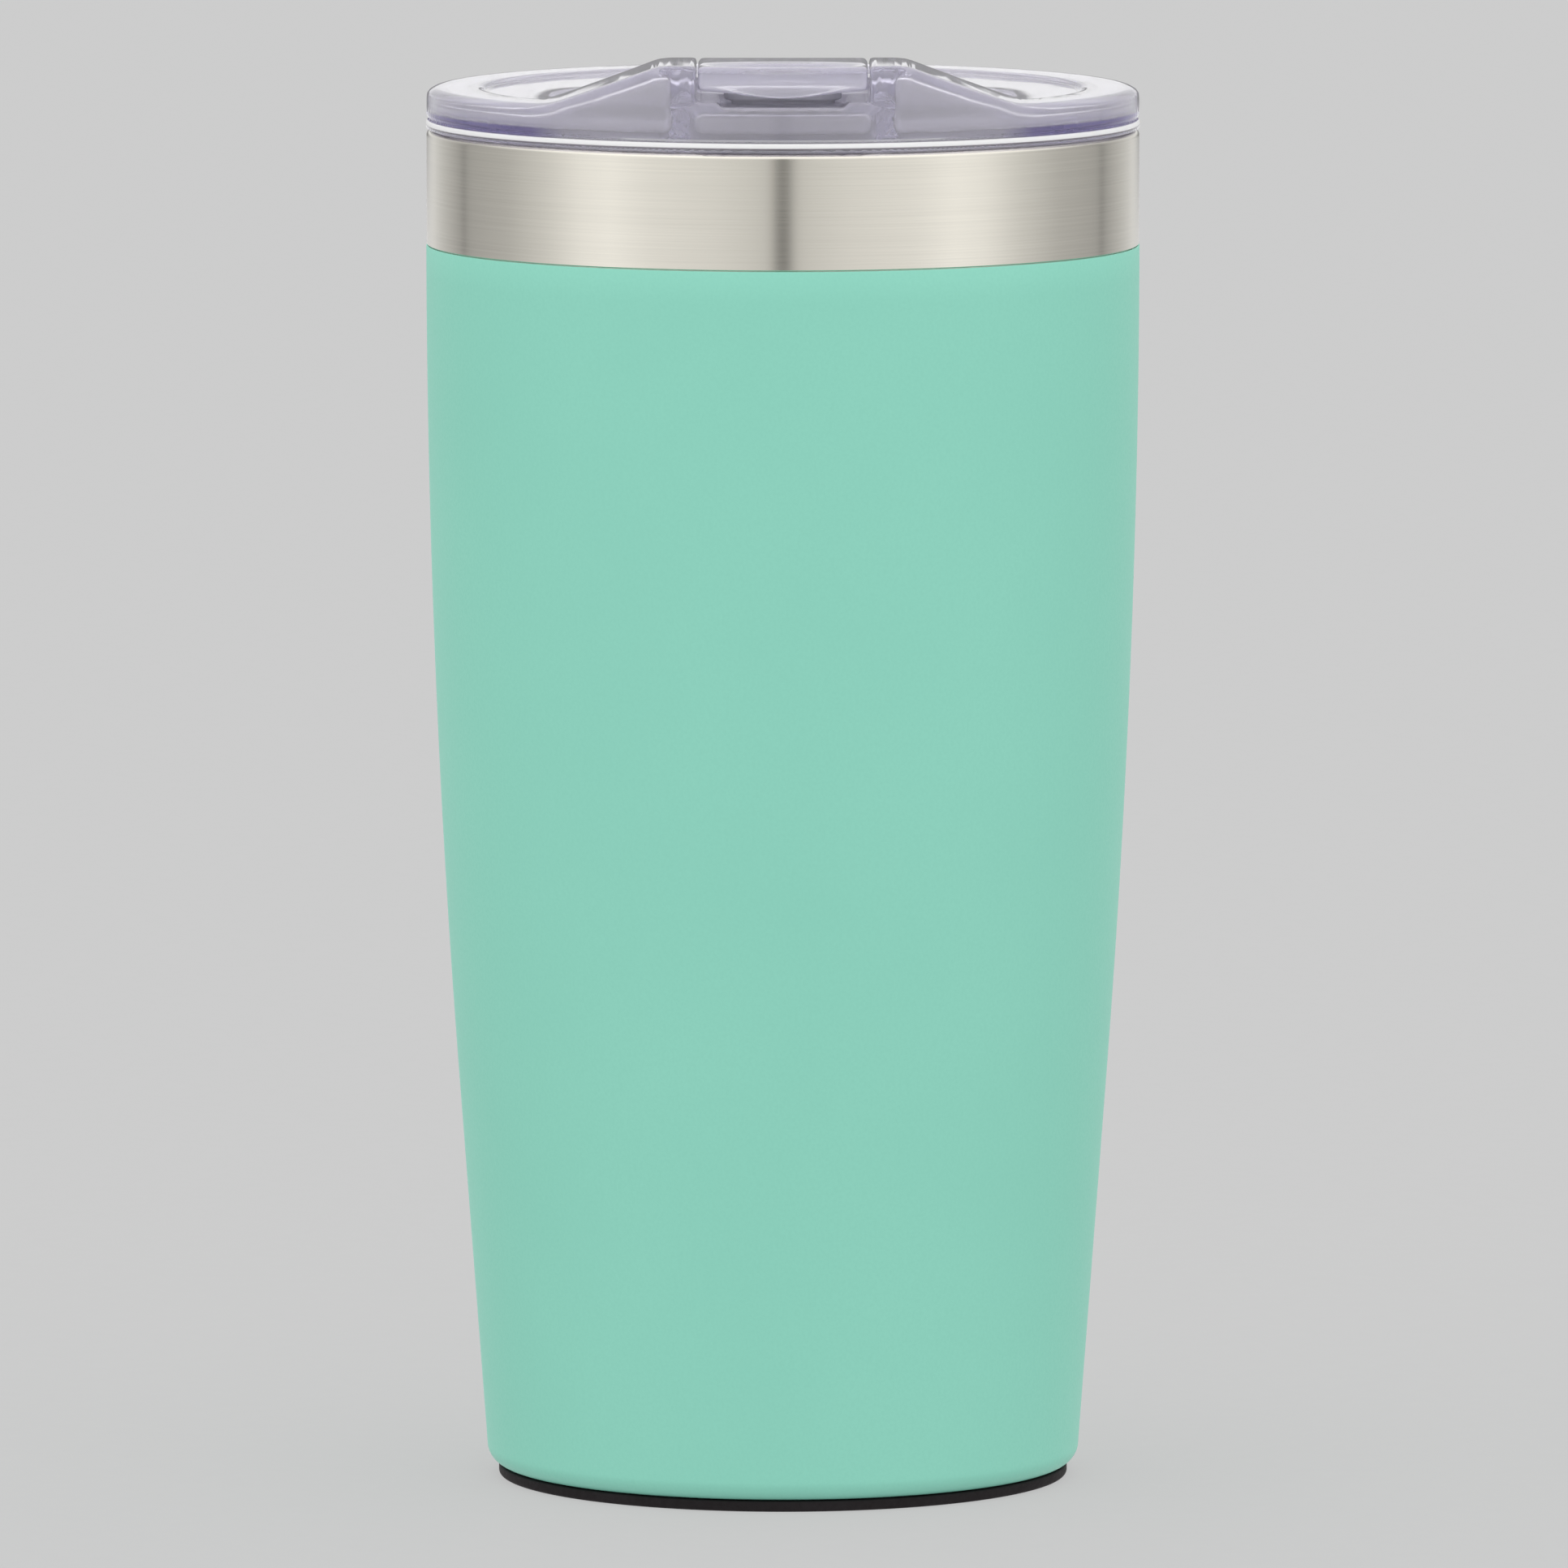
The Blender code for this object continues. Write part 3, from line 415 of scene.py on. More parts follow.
def sealing_glass_material():
    """Dark solder glass with a glossy skin and small seeds."""
    s = Shader("solder_glass")
    seeds = s.noise(900.0, 2.0)
    colour = s.mix(s.ramp(seeds, 0.55, 0.75, 0.0, 1.0), rgb(0.10, 0.12, 0.11), rgb(0.26, 0.28, 0.26))
    s.set(base_color=colour, roughness=s.ramp(seeds, 0.3, 0.7, 0.10, 0.25),
          normal=s.bump(seeds, 0.1, 0.05 * MM))
    return s.material


def getter_material():
    """Pressed metal powder, matt and slightly pitted."""
    s = Shader("getter_powder")
    pits = s.noise(2200.0, 5.0, 0.7)
    colour = s.mix(s.ramp(pits, 0.3, 0.7, 0.0, 1.0), rgb(0.16, 0.16, 0.17), rgb(0.33, 0.33, 0.34))
    s.set(base_color=colour, metallic=0.8, roughness=s.ramp(pits, 0.3, 0.7, 0.6, 0.85),
          normal=s.bump(pits, 0.5, 0.05 * MM))
    return s.material


def floor_material():
    """Plain pale grey studio floor with a barely visible tooth."""
    s = Shader("studio_floor")
    tooth = s.noise(300.0, 2.0)
    colour = s.mix(s.ramp(tooth, 0.3, 0.7, 0.0, 1.0), rgb(0.116, 0.116, 0.116), rgb(0.120, 0.120, 0.120))
    s.set(base_color=colour, roughness=0.9, specular_ior_level=0.0, emission_color=rgb(1, 1, 1),
          emission_strength=0.458)
    return s.material


# ---------------------------------------------------------------- turned pieces

def arc(centre_r, centre_z, radius, start, end, steps):
    """Points on an arc in the (radius, height) plane, angles in degrees."""
    angles = [math.radians(start + (end - start) * i / steps) for i in range(steps + 1)]
    return [(centre_r + radius * math.cos(a), centre_z + radius * math.sin(a)) for a in angles]


def rounded(outline, radius, steps=3):
    """The closed outline with every corner rounded, by at most a third of its shorter side."""
    done = []
    count = len(outline)
    for i in range(count):
        here = Vector(outline[i])
        before = Vector(outline[i - 1]) - here
        after = Vector(outline[(i + 1) % count]) - here
        reach = min(radius, before.length / 3, after.length / 3)
        start = here + before.normalized() * reach
        end = here + after.normalized() * reach
        if here.x < ON_AXIS:
            done.append(tuple(here))
            continue
        for step in range(steps + 1):
            t = step / steps
            done.append(tuple(start * (1 - t) ** 2 + here * 2 * t * (1 - t) + end * t ** 2))
    return done


def turned(name, outline, material, steps=ROUND_STEPS):
    """A closed (radius, height) outline spun round the Z axis, smooth except at sharp corners."""
    mesh = bpy.data.meshes.new(name)
    bm = bmesh.new()
    points = [bm.verts.new((radius, 0, height)) for radius, height in outline]
    pairs = zip(points, points[1:] + points[:1])
    off_axis = [pair for pair in pairs if pair[0].co.x + pair[1].co.x > SAME_PLACE]
    edges = [bm.edges.new(pair) for pair in off_axis]
    bmesh.ops.spin(bm, geom=points + edges, axis=(0, 0, 1), cent=(0, 0, 0), angle=math.tau, steps=steps,
                   use_merge=True)
    bmesh.ops.remove_doubles(bm, verts=bm.verts, dist=SAME_PLACE)
    bm.normal_update()
    bmesh.ops.recalc_face_normals(bm, faces=bm.faces)
    bm.to_mesh(mesh)
    bm.free()
    return finished(name, mesh, material)


def finished(name, mesh, material, sharp_angle=40.0):
    obj = bpy.data.objects.new(name, mesh)
    bpy.context.scene.collection.objects.link(obj)
    mesh.materials.clear()
    mesh.materials.append(material)
    mesh.shade_smooth()
    mesh.set_sharp_from_angle(angle=math.radians(sharp_angle))
    return obj


def stands_for(obj, body, slot, *nodes):
    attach(obj, body)
    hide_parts(*nodes)


# ---------------------------------------------------------------- vessel

def body_radius(z):
    """Outside of the coated body: parallel at the top, gently bowed in, then a plain cone."""
    drop = max(0.0, WIDEST_Z - z)
    bowed = min(drop, WIDEST_Z - STRAIGHT_Z)
    return BODY_RADIUS - BOW * bowed ** 2 - 2 * BOW * bowed * (drop - bowed)


def levels(low, high, count):
    return [low + (high - low) * i / count for i in range(count + 1)]


def body_side(offset, top_z):
    """Half outline of a wall that follows the body, this far inside it, from under the foot to top_z."""
    start_z = COAT_FOOT_Z + FOOT_ROUND
    foot = arc(body_radius(start_z) - FOOT_ROUND, start_z, FOOT_ROUND - offset, -90, 0, 12)
    return foot + [(body_radius(z) - offset, z) for z in levels(start_z, top_z, 40)[1:]]


def make_powder_coat(material):
    edge = 0.12 * MM
    outside = body_side(0.0, COAT_EDGE_Z - edge)
    inside = body_side(COAT, COAT_EDGE_Z)
    bead = [(body_radius(COAT_EDGE_Z) - 0.03 * MM, COAT_EDGE_Z - 0.04 * MM),
            (body_radius(COAT_EDGE_Z) - edge, COAT_EDGE_Z)]
    return turned("powder_coat_finish", outside + bead + inside[::-1], material)


def make_outer_shell(material):
    under = COAT + LAYER_GAP
    step_z = COAT_EDGE_Z + LAYER_GAP
    band_r = BODY_RADIUS - LAYER_GAP
    inner_r = BODY_RADIUS - under - STEEL
    outside = body_side(under, step_z)
    inside = body_side(under + STEEL, step_z)
    chamfer = 0.15 * MM
    band = [(band_r - chamfer, step_z), (band_r, step_z + chamfer)]
    lip_outside = arc(band_r - LIP_ROUND, LIP_Z - LIP_ROUND, LIP_ROUND, 0, 90, 10)
    lip_inside = arc(inner_r - 0.5 * MM, LIP_Z - STEEL - 0.5 * MM, 0.5 * MM, 90, 0, 6)
    seam = [(LIP_SEAM_RADIUS + 0.1 * MM, LIP_Z), (LIP_SEAM_RADIUS, LIP_Z - 0.1 * MM),
            (LIP_SEAM_RADIUS, lip_inside[0][1])]
    foot_edge = [(FOOT_OPENING, inside[0][1]), (FOOT_OPENING, outside[0][1])]
    outline = outside + band + lip_outside + seam + lip_inside + inside[::-1] + foot_edge
    return turned("outer_shell_finish", outline, material)


def liner_side(thickness):
    def wall_r(z):
        return body_radius(z) - LINER_INSET

    corner_z = LINER_FLOOR_Z + LINER_CORNER
    dome = [(0.0, LINER_FLOOR_Z - thickness)]
    corner = arc(wall_r(corner_z) - LINER_CORNER, corner_z, LINER_CORNER + thickness, -90, 0, 14)
    wall = [(wall_r(z) + thickness, z) for z in levels(corner_z, MOUTH_LEDGE_Z - 2 * MM, 36)[1:]]
    ledge = [(MOUTH_RADIUS + thickness, MOUTH_LEDGE_Z)]
    lip = arc(MOUTH_RADIUS + LIP_ROUND, LIP_Z - LIP_ROUND, LIP_ROUND - thickness, 180, 90, 10)
    return dome + corner + wall + ledge + lip


def make_inner_liner(material):
    seam = LIP_SEAM_RADIUS - 2 * LAYER_GAP
    edge = [(seam - 0.1 * MM, LIP_Z), (seam, LIP_Z - 0.1 * MM), (seam, LIP_Z - LINER_STEEL)]
    return turned("inner_liner_finish", liner_side(0.0) + edge + liner_side(LINER_STEEL)[::-1], material)


def make_base_pad(material):
    """Rubber foot with a rounded land, a shallow sunk middle and two moulded grip rings."""
    low_round = 0.5 * MM
    outline = [(0, 0.4 * MM)]
    for ring in (10 * MM, 18 * MM):
        outline += [(ring - 0.5 * MM, 0.4 * MM), (ring - 0.2 * MM, 0.2 * MM), (ring + 0.2 * MM, 0.2 * MM),
                    (ring + 0.5 * MM, 0.4 * MM)]
    outline += [(26.0 * MM, 0.4 * MM), (26.6 * MM, 0)]
    outline += arc(PAD_RADIUS - low_round, low_round, low_round, -90, 0, 8)
    outline += arc(PAD_RADIUS - 0.2 * MM, PAD_HEIGHT - 0.2 * MM, 0.2 * MM, 0, 90, 4)
    return turned("base_pad_finish", outline + [(0, PAD_HEIGHT)], material)


# ---------------------------------------------------------------- moulded pieces, from distance fields

def smooth_max(a, b, blend):
    """Where two fields meet, their edge is rounded over about this distance."""
    h = np.maximum(blend - np.abs(a - b), 0.0) / blend
    return np.maximum(a, b) + h * h * blend / 4


def smooth_min(a, b, blend):
    return -smooth_max(-a, -b, blend)


def cut(solid, tool, blend):
    return smooth_max(solid, -tool, blend)


class Grid:
    """A block of sample points over a CAD node's box, on which moulded shapes are drawn as distances."""

    def __init__(self, low, high, cell):
        margin = 3 * cell
        self.cell = cell
        self.low = [corner - margin for corner in low]
        counts = [int(math.ceil((b + margin - a) / cell)) + 1 for a, b in zip(self.low, high)]
        axes = [start + cell * np.arange(count, dtype=np.float32) for start, count in zip(self.low, counts)]
        self.x = axes[0][:, None, None]
        self.y = axes[1][None, :, None]
        self.z = axes[2][None, None, :]
        self.r = np.sqrt(self.x ** 2 + self.y ** 2)

    def mesh(self, name, field, faces):
        """The surface where field is zero, thinned to about this many triangles."""
        shape = np.broadcast_shapes(self.x.shape, self.y.shape, self.z.shape)
        reach = 4 * self.cell
        values = np.array(np.broadcast_to(np.clip(field, -reach, reach), shape), dtype=np.float32, order="C")
        grid = openvdb.FloatGrid(reach)
        grid.copyFromArray(values)
        points, quads = grid.convertToQuads(isovalue=0.0)
        places = points * self.cell + np.array(self.low)
        mesh = bpy.data.meshes.new(name)
        mesh.from_pydata(places.tolist(), [], quads[:, ::-1].tolist())
        return thinned(mesh, faces)

    def mark_inside(self, mesh, envelope):
        """Marks each point with 1 where it lies well inside the piece's outer envelope, else with 0."""
        shape = np.broadcast_shapes(self.x.shape, self.y.shape, self.z.shape)
        depth = np.broadcast_to(envelope, shape)
        places = np.empty(3 * len(mesh.vertices))
        mesh.vertices.foreach_get("co", places)
        steps = np.rint((places.reshape(-1, 3) - self.low) / self.cell).astype(int)
        steps = np.clip(steps, 0, np.array(shape) - 1)
        inside = np.clip(-depth[tuple(steps.T)] / (0.6 * MM) - 0.5, 0.0, 1.0)
        mark = mesh.attributes.new(INSIDE_MARK, "FLOAT", "POINT")
        mark.data.foreach_set("value", inside.astype(np.float32))


def thinned(mesh, faces):
    """The mesh cut down to about this many triangles, with its faces pointing out."""
    obj = bpy.data.objects.new(mesh.name, mesh)
    bpy.context.scene.collection.objects.link(obj)
    triangles = 2 * len(mesh.polygons)
    if triangles > faces:
        modifier = obj.modifiers.new("Thin", "DECIMATE")
        modifier.ratio = faces / triangles
        modifier.use_collapse_triangulate = True
    bpy.context.view_layer.update()
    graph = bpy.context.evaluated_depsgraph_get()
    made = bpy.data.meshes.new_from_object(obj.evaluated_get(graph))
    bpy.data.objects.remove(obj)
    bm = bmesh.new()
    bm.from_mesh(made)
    if bm.calc_volume(signed=True) < 0:
        bmesh.ops.reverse_faces(bm, faces=bm.faces)
    bm.to_mesh(made)
    bm.free()
    return made


def ramp_share(y):
    """How much of the ramp's full height it has at y."""
    along = np.clip((y - RAMP_TOP_Y) / (RAMP_END_Y - RAMP_TOP_Y), 0.0, 1.0)
    return 0.5 + 0.5 * np.cos(np.pi * along)


def shoulder_height(x):
    """Height of the ramp's cross-section over the recess: plateau, round crest, straight slope, fair foot."""
    height = CREST_Z - RECESS_Z
    sine, cosine = math.sin(SHOULDER_ANGLE), math.cos(SHOULDER_ANGLE)
    slope = math.tan(SHOULDER_ANGLE)
    crest_end = PLATEAU_HALF + CREST_ROUND * sine
    crest_drop = CREST_ROUND * (1 - cosine)
    fair_rise = FOOT_FAIR * (1 - cosine)
    fair_start = crest_end + (height - crest_drop - fair_rise) / slope
    foot = fair_start + FOOT_FAIR * sine
    side = np.abs(x)
    crest = height - CREST_ROUND + np.sqrt(np.maximum(CREST_ROUND ** 2 - (side - PLATEAU_HALF) ** 2, 0.0))
    straight = height - crest_drop - (side - crest_end) * slope
    fair = FOOT_FAIR - np.sqrt(np.maximum(FOOT_FAIR ** 2 - (foot - side) ** 2, 0.0))
    return np.select([side < PLATEAU_HALF, side < crest_end, side < fair_start, side < foot],
                     [height, crest, straight, fair], 0.0)


def plateau_z(y):
    return RECESS_Z + (CREST_Z - RECESS_Z) * ramp_share(y)


def plateau_angle(y):
    step = 0.05 * MM
    return math.atan((plateau_z(y - step) - plateau_z(y + step)) / (2 * step))


def above_ramp(g, lowered=0.0):
    """Distance above the ramp's surface, and above the recess round it."""
    height = RECESS_Z - lowered + shoulder_height(g.x) * ramp_share(g.y)
    rise_x, rise_y = np.gradient(height[:, :, 0], g.cell)
    steepness = np.sqrt(1 + rise_x ** 2 + rise_y ** 2)[:, :, None]
    return (g.z - height) / steepness


def above_plateau(g, offset):
    """Distance above the ramp's middle line, raised by offset."""
    height = plateau_z(g.y) + offset
    steepness = np.sqrt(1 + np.gradient(height[0, :, 0], g.cell) ** 2)[None, :, None]
    return (g.z - height) / steepness


def flange_radius(z):
    return FLANGE_RADIUS - FLANGE_DRAFT * (z - SEAT_Z)


def slot_distance(g, spacing, radius, centre_y):
    """Distance from an upright slot with round ends."""
    beyond = np.maximum(np.abs(g.x) - spacing, 0.0)
    return np.sqrt(beyond ** 2 + (g.y - centre_y) ** 2) - radius


def span_distance(value, low, high):
    """Distance outside the span from low to high, along one direction."""
    return np.abs(value - (low + high) / 2) - (high - low) / 2


def torus_distance(g, ring_radius, ring_z, radius):
    return np.sqrt((g.r - ring_radius) ** 2 + (g.z - ring_z) ** 2) - radius


def rod_distance(g, radius, reach):
    """Distance from a rod on the flap's axis, with its ends at plus and minus reach."""
    across = np.sqrt((g.y - PIVOT_Y) ** 2 + (g.z - PIVOT_Z) ** 2) - radius
    return smooth_max(across, np.abs(g.x) - reach, 0.4 * MM)


def lid_top(g):
    """Flange, deck, sunken middle and drinking ramp, as one solid block."""
    outside = g.r - flange_radius(g.z)
    deck = smooth_max(outside, g.z - DECK_Z, 1.4 * MM)
    recess = smooth_max(g.r - RECESS_RADIUS, RECESS_Z - g.z, 0.5 * MM)
    deck = cut(deck, recess, 0.5 * MM)
    ramp = smooth_max(above_ramp(g), outside, 0.5 * MM)
    return smooth_min(deck, ramp, 0.8 * MM)


def beaded_foot(g, top):
    """The block cut off at the flange's foot, with a bead round it and a groove above the bead."""
    foot_radius = flange_radius(SEAT_Z)
    groove_z = BEAD_Z + BEAD_RADIUS + BEAD_GROOVE
    groove = torus_distance(g, foot_radius + 0.1 * MM, groove_z, BEAD_GROOVE)
    bead = torus_distance(g, foot_radius - BEAD_RADIUS, BEAD_Z, BEAD_RADIUS)
    foot = smooth_max(top, FOOT_Z - g.z, 0.5 * MM)
    return smooth_min(cut(foot, groove, 0.3 * MM), bead, 0.2 * MM)


def lid_hollow(g, top):
    """The space under the lid's skin: the well inside the skirt, and the gallery above the flange's foot."""
    well = smooth_max(top + LID_SKIN, g.r - SKIRT_INSIDE, 0.8 * MM)
    gallery = smooth_max(top + LID_SKIN, g.r - FLANGE_INSIDE, 0.8 * MM)
    gallery = smooth_max(gallery, SEAT_Z + FLANGE_FOOT - g.z, 0.6 * MM)
    return smooth_min(well, gallery, 0.5 * MM)


def lid_skirt(g):
    """The ring that reaches down into the mouth."""
    return smooth_max(span_distance(g.r, SKIRT_INSIDE, SKIRT_RADIUS),
                      span_distance(g.z, SKIRT_Z, SKIRT_TOP_Z), 0.8 * MM)


def seal_groove(g):
    return smooth_max(GROOVE_RADIUS - g.r, span_distance(g.z, GROOVE_LOW, GROOVE_HIGH), 0.3 * MM)


def under_skin(g):
    """Below the middle of the ramp's skin and within the flange's wall, where the channel's body may reach."""
    return np.maximum(above_plateau(g, -LID_SKIN / 2), g.r - FLANGE_INSIDE - 1 * MM)


def channel_tub(g):
    """The body of the flap's channel, with its floor, before the channel is cut out."""
    tub = smooth_max(np.abs(g.x) - CHANNEL_HALF - CHANNEL_WALL, g.y - CHANNEL_END_Y - CHANNEL_WALL, 1.5 * MM)
    tub = smooth_max(tub, -above_plateau(g, -CHANNEL_DEPTH - CHANNEL_FLOOR), 1.5 * MM)
    return smooth_max(tub, under_skin(g), 0.5 * MM)


def channel_walls(g):
    """The two walls beside the channel, which hold the flap's pivot."""
    wall = smooth_max(np.abs(np.abs(g.x) - CHANNEL_HALF - CHANNEL_WALL / 2) - CHANNEL_WALL / 2,
                      g.y - CHANNEL_END_Y - CHANNEL_WALL, 1.0 * MM)
    wall = smooth_max(wall, CHANNEL_WALL_Z - g.z, 1.2 * MM)
    return np.maximum(wall, under_skin(g))


def channel_space(g):
    channel = smooth_max(np.abs(g.x) - CHANNEL_HALF, g.y - CHANNEL_END_Y, 0.8 * MM)
    return smooth_max(channel, -above_plateau(g, -CHANNEL_DEPTH), 0.5 * MM)


def pour_space(g):
    """The shallow trough in the channel's floor, from the sip hole to the rim."""
    pour_end = SIP_Y + SIP_RADIUS + 1 * MM
    pour = smooth_max(np.abs(g.x) - POUR_HALF, g.y - pour_end, 1.0 * MM)
    return smooth_max(pour, -above_plateau(g, -CHANNEL_DEPTH - POUR_DEPTH), 0.5 * MM)


def vent_hole(g):
    """A round hole, square to the ramp."""
    tilt = plateau_angle(VENT_Y)
    along = (g.y - VENT_Y) * math.cos(tilt) - (g.z - plateau_z(VENT_Y)) * math.sin(tilt)
    return np.sqrt(g.x ** 2 + along ** 2) - VENT_RADIUS


def make_lid_shell(material):
    g = Grid(*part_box("lid_shell"), LID_CELL)
    top = lid_top(g)
    skirt = lid_skirt(g)
    channel = channel_space(g)
    lid = cut(beaded_foot(g, top), lid_hollow(g, top), 0.3 * MM)
    lid = smooth_min(lid, cut(skirt, seal_groove(g), 0.3 * MM), 0.6 * MM)
    lid = smooth_min(lid, channel_tub(g), 0.8 * MM)
    lid = smooth_min(lid, channel_walls(g), 1.2 * MM)
    lid = cut(lid, channel, 0.5 * MM)
    lid = cut(lid, pour_space(g), 0.4 * MM)
    lid = cut(lid, slot_distance(g, SIP_HALF_SPACING, SIP_RADIUS, SIP_Y), 0.4 * MM)
    lid = cut(lid, vent_hole(g), 0.3 * MM)
    lid = cut(lid, rod_distance(g, STUB_RADIUS + 0.15 * MM, STUB_REACH + 0.3 * MM), 0.2 * MM)
    mesh = g.mesh("lid_shell_finish", lid, LID_TRIANGLES)
    g.mark_inside(mesh, np.maximum(np.minimum(top, skirt), -channel))
    return finished("lid_shell_finish", mesh, material, SMOOTH_ALL)


def make_flap(material):
    g = Grid(*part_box("drinking_flap"), FLAP_CELL)
    sides = np.abs(g.x) - FLAP_HALF
    front = g.r - flange_radius(g.z) + 0.1 * MM
    plate = np.maximum(above_plateau(g, 0.0), -above_plateau(g, -FLAP_THICKNESS))
    plate = np.maximum(plate, g.y - PIVOT_Y)
    nose_y = NOSE_LENGTH - flange_radius(CREST_Z)
    belly = NOSE_BELLY * np.cos(np.clip(g.x / FLAP_HALF, -1.0, 1.0) * np.pi / 2) ** 2
    nose = np.maximum(np.maximum(g.z - CREST_Z, CREST_Z - NOSE_THICKNESS - belly - g.z), g.y - nose_y)
    barrel = np.sqrt((g.y - PIVOT_Y) ** 2 + (g.z - PIVOT_Z) ** 2) - BARREL_RADIUS
    profile = smooth_min(smooth_min(plate, nose, 1.0 * MM), barrel, 1.0 * MM)
    profile = np.maximum(profile, g.z - CREST_Z)
    flap = smooth_max(smooth_max(profile, front, 0.8 * MM), sides, 0.8 * MM)
    flap = smooth_min(flap, rod_distance(g, STUB_RADIUS, STUB_REACH), 0.4 * MM)
    boss = slot_distance(g, SIP_HALF_SPACING - 1 * MM, 1.5 * MM, SIP_Y)
    boss = np.maximum(boss, np.maximum(CREST_Z - FLAP_THICKNESS - BOSS_DROP - g.z, g.z - CREST_Z + 1 * MM))
    flap = smooth_min(flap, boss, 0.4 * MM)
    level = (g.x / DISH_HALF_WIDTH) ** 2 + ((g.y - DISH_Y) / DISH_HALF_LENGTH) ** 2
    dish = np.sqrt(level + ((g.z - CREST_Z) / DISH_DEPTH) ** 2) - 1
    flap = cut(flap, dish * DISH_DEPTH, 0.5 * MM)
    mesh = g.mesh("drinking_flap_finish", flap, FLAP_TRIANGLES)
    g.mark_inside(mesh, above_plateau(g, 0.0))
    return finished("drinking_flap_finish", mesh, material, SMOOTH_ALL)


# ---------------------------------------------------------------- silicone pieces

def make_lid_seal(material):
    """Seal ring with two soft wiper lips."""
    low, high = GROOVE_LOW + 0.3 * MM, GROOVE_HIGH - 0.3 * MM
    r_in, r_body, r_lip = GROOVE_RADIUS + 0.3 * MM, SKIRT_RADIUS + 0.2 * MM, MOUTH_RADIUS - 0.3 * MM
    outline = [(r_in, low), (r_body, low)]
    for foot in (low + 0.3 * MM, low + 2.3 * MM):
        outline += [(r_body, foot), (r_lip, foot + 0.7 * MM),
                    (r_lip, foot + 1.0 * MM), (r_body, foot + 1.2 * MM)]
    outline += [(r_body, high), (r_in, high)]
    return turned("lid_seal_finish", rounded(outline, 0.25 * MM), material)


def make_sip_plug(material):
    g = Grid(*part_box("sip_plug"), PLUG_CELL)
    top = CREST_Z - FLAP_THICKNESS - PLUG_GAP
    seat = CREST_Z - CHANNEL_DEPTH - POUR_DEPTH + PLUG_SEAT_GAP
    tip = seat - 1.6 * MM
    taper = 0.3 * (seat - g.z)
    stem = slot_distance(g, SIP_HALF_SPACING, SIP_RADIUS - 0.3 * MM, SIP_Y) + np.maximum(taper, 0.0)
    stem = smooth_max(stem, np.maximum(tip - g.z, g.z - seat - 0.2 * MM), 0.8 * MM)
    head = slot_distance(g, SIP_HALF_SPACING, SIP_RADIUS + 0.5 * MM, SIP_Y)
    head = smooth_max(head, np.maximum(seat - g.z, g.z - top), 0.4 * MM)
    plug = smooth_min(stem, head, 0.3 * MM)
    pocket = slot_distance(g, SIP_HALF_SPACING - 1 * MM, 1.6 * MM, SIP_Y)
    plug = cut(plug, np.maximum(pocket, top - 1.6 * MM - g.z), 0.2 * MM)
    mesh = g.mesh("sip_plug_finish", plug, PLUG_TRIANGLES)
    return finished("sip_plug_finish", mesh, material, SMOOTH_ALL)


def make_vent_plug(material):
    top, low = -FLAP_THICKNESS - PLUG_GAP, -CHANNEL_DEPTH + PLUG_SEAT_GAP
    radius = VENT_RADIUS + 1.1 * MM
    outline = rounded([(0, low), (radius, low), (radius, top), (0, top)], 0.4 * MM, 5)
    plug = turned("vent_plug_finish", outline, material, 64)
    plug.data.transform(Matrix.Translation((0, VENT_Y, plateau_z(VENT_Y)))
                        @ Matrix.Rotation(-plateau_angle(VENT_Y), 4, "X"))
    return plug


# ---------------------------------------------------------------- assembly

def dress_object():
    # the band's lip gets painted shade just under the lid's foot
    steel = brushed_steel_material("brushed_steel_band", (0.76, 0.73, 0.655), 0.21,
                                   shade_above=LIP_Z - 0.1 * MM)
    liner_steel = brushed_steel_material("brushed_steel_liner", (0.86, 0.85, 0.83), 0.42, 3000.0)
    clear = clear_plastic_material("clear_lid_plastic", (0.45, 0.40, 0.75), 12.0)
    silicone = silicone_material()
    stands_for(make_powder_coat(powder_coat_material()), "vessel", "mint_coat", "powder_coat")
    stands_for(make_outer_shell(steel), "vessel", "steel", "outer_shell")
    stands_for(make_inner_liner(liner_steel), "vessel", "steel", "inner_liner")
    stands_for(make_base_pad(rubber_material()), "vessel", "rubber", "base_pad")
    stands_for(make_lid_shell(clear), "lid", "clear_plastic", "lid_shell")
    stands_for(make_flap(clear), "flap", "clear_plastic", "drinking_flap")
    stands_for(make_lid_seal(silicone), "seal", "silicone", "lid_seal")
    stands_for(make_sip_plug(silicone), "flap", "silicone", "sip_plug")
    stands_for(make_vent_plug(silicone), "flap", "silicone", "vent_plug")
    inside = {"copper_foil": copper_material(), "pad_tape": tape_material(),
              "vacuum_seal": sealing_glass_material(), "getter_pill": getter_material(),
              "getter_cup": liner_steel, "outer_base": liner_steel}
    for node, material in inside.items():
        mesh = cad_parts[node].data
        mesh.materials.clear()
        mesh.materials.append(material)


# ---------------------------------------------------------------- stage

# Brightness of the surroundings against the turn from the camera (0) to straight behind the tumbler (1)
STUDIO_RING = [
    (0.000, 0.16), (0.009, 0.26), (0.022, 0.88), (0.12, 1.07), (0.24, 1.20), (0.32, 1.40), (0.38, 1.31),
    (0.46, 0.98), (0.56, 0.70), (0.685, 0.57), (0.700, 0.35), (0.715, 0.53), (0.76, 0.68), (0.86, 0.95),
    (1.000, 1.45),
]

# How much of the light behind the tumbler is held back, against the height of its direction
SHADE_REACH = 0.2
REAR_SHADE = [
    (-0.076, 0.05), (-0.068, 0.78), (0.040, 0.78), (0.053, 0.12), (0.090, 0.12), (0.130, 0.25),
]
REAR_START = 0.86                 # turn at which the rear shade sets in, and at which it is full
REAR_FULL = 0.94
SKY_LIGHT = 1.90
SKY_START = 0.35                  # height of direction at which the sky sets in, and at which it is full
SKY_FULL = 0.75

FLOOR_HALF = 8.0
FLOOR_SQUARES = 8

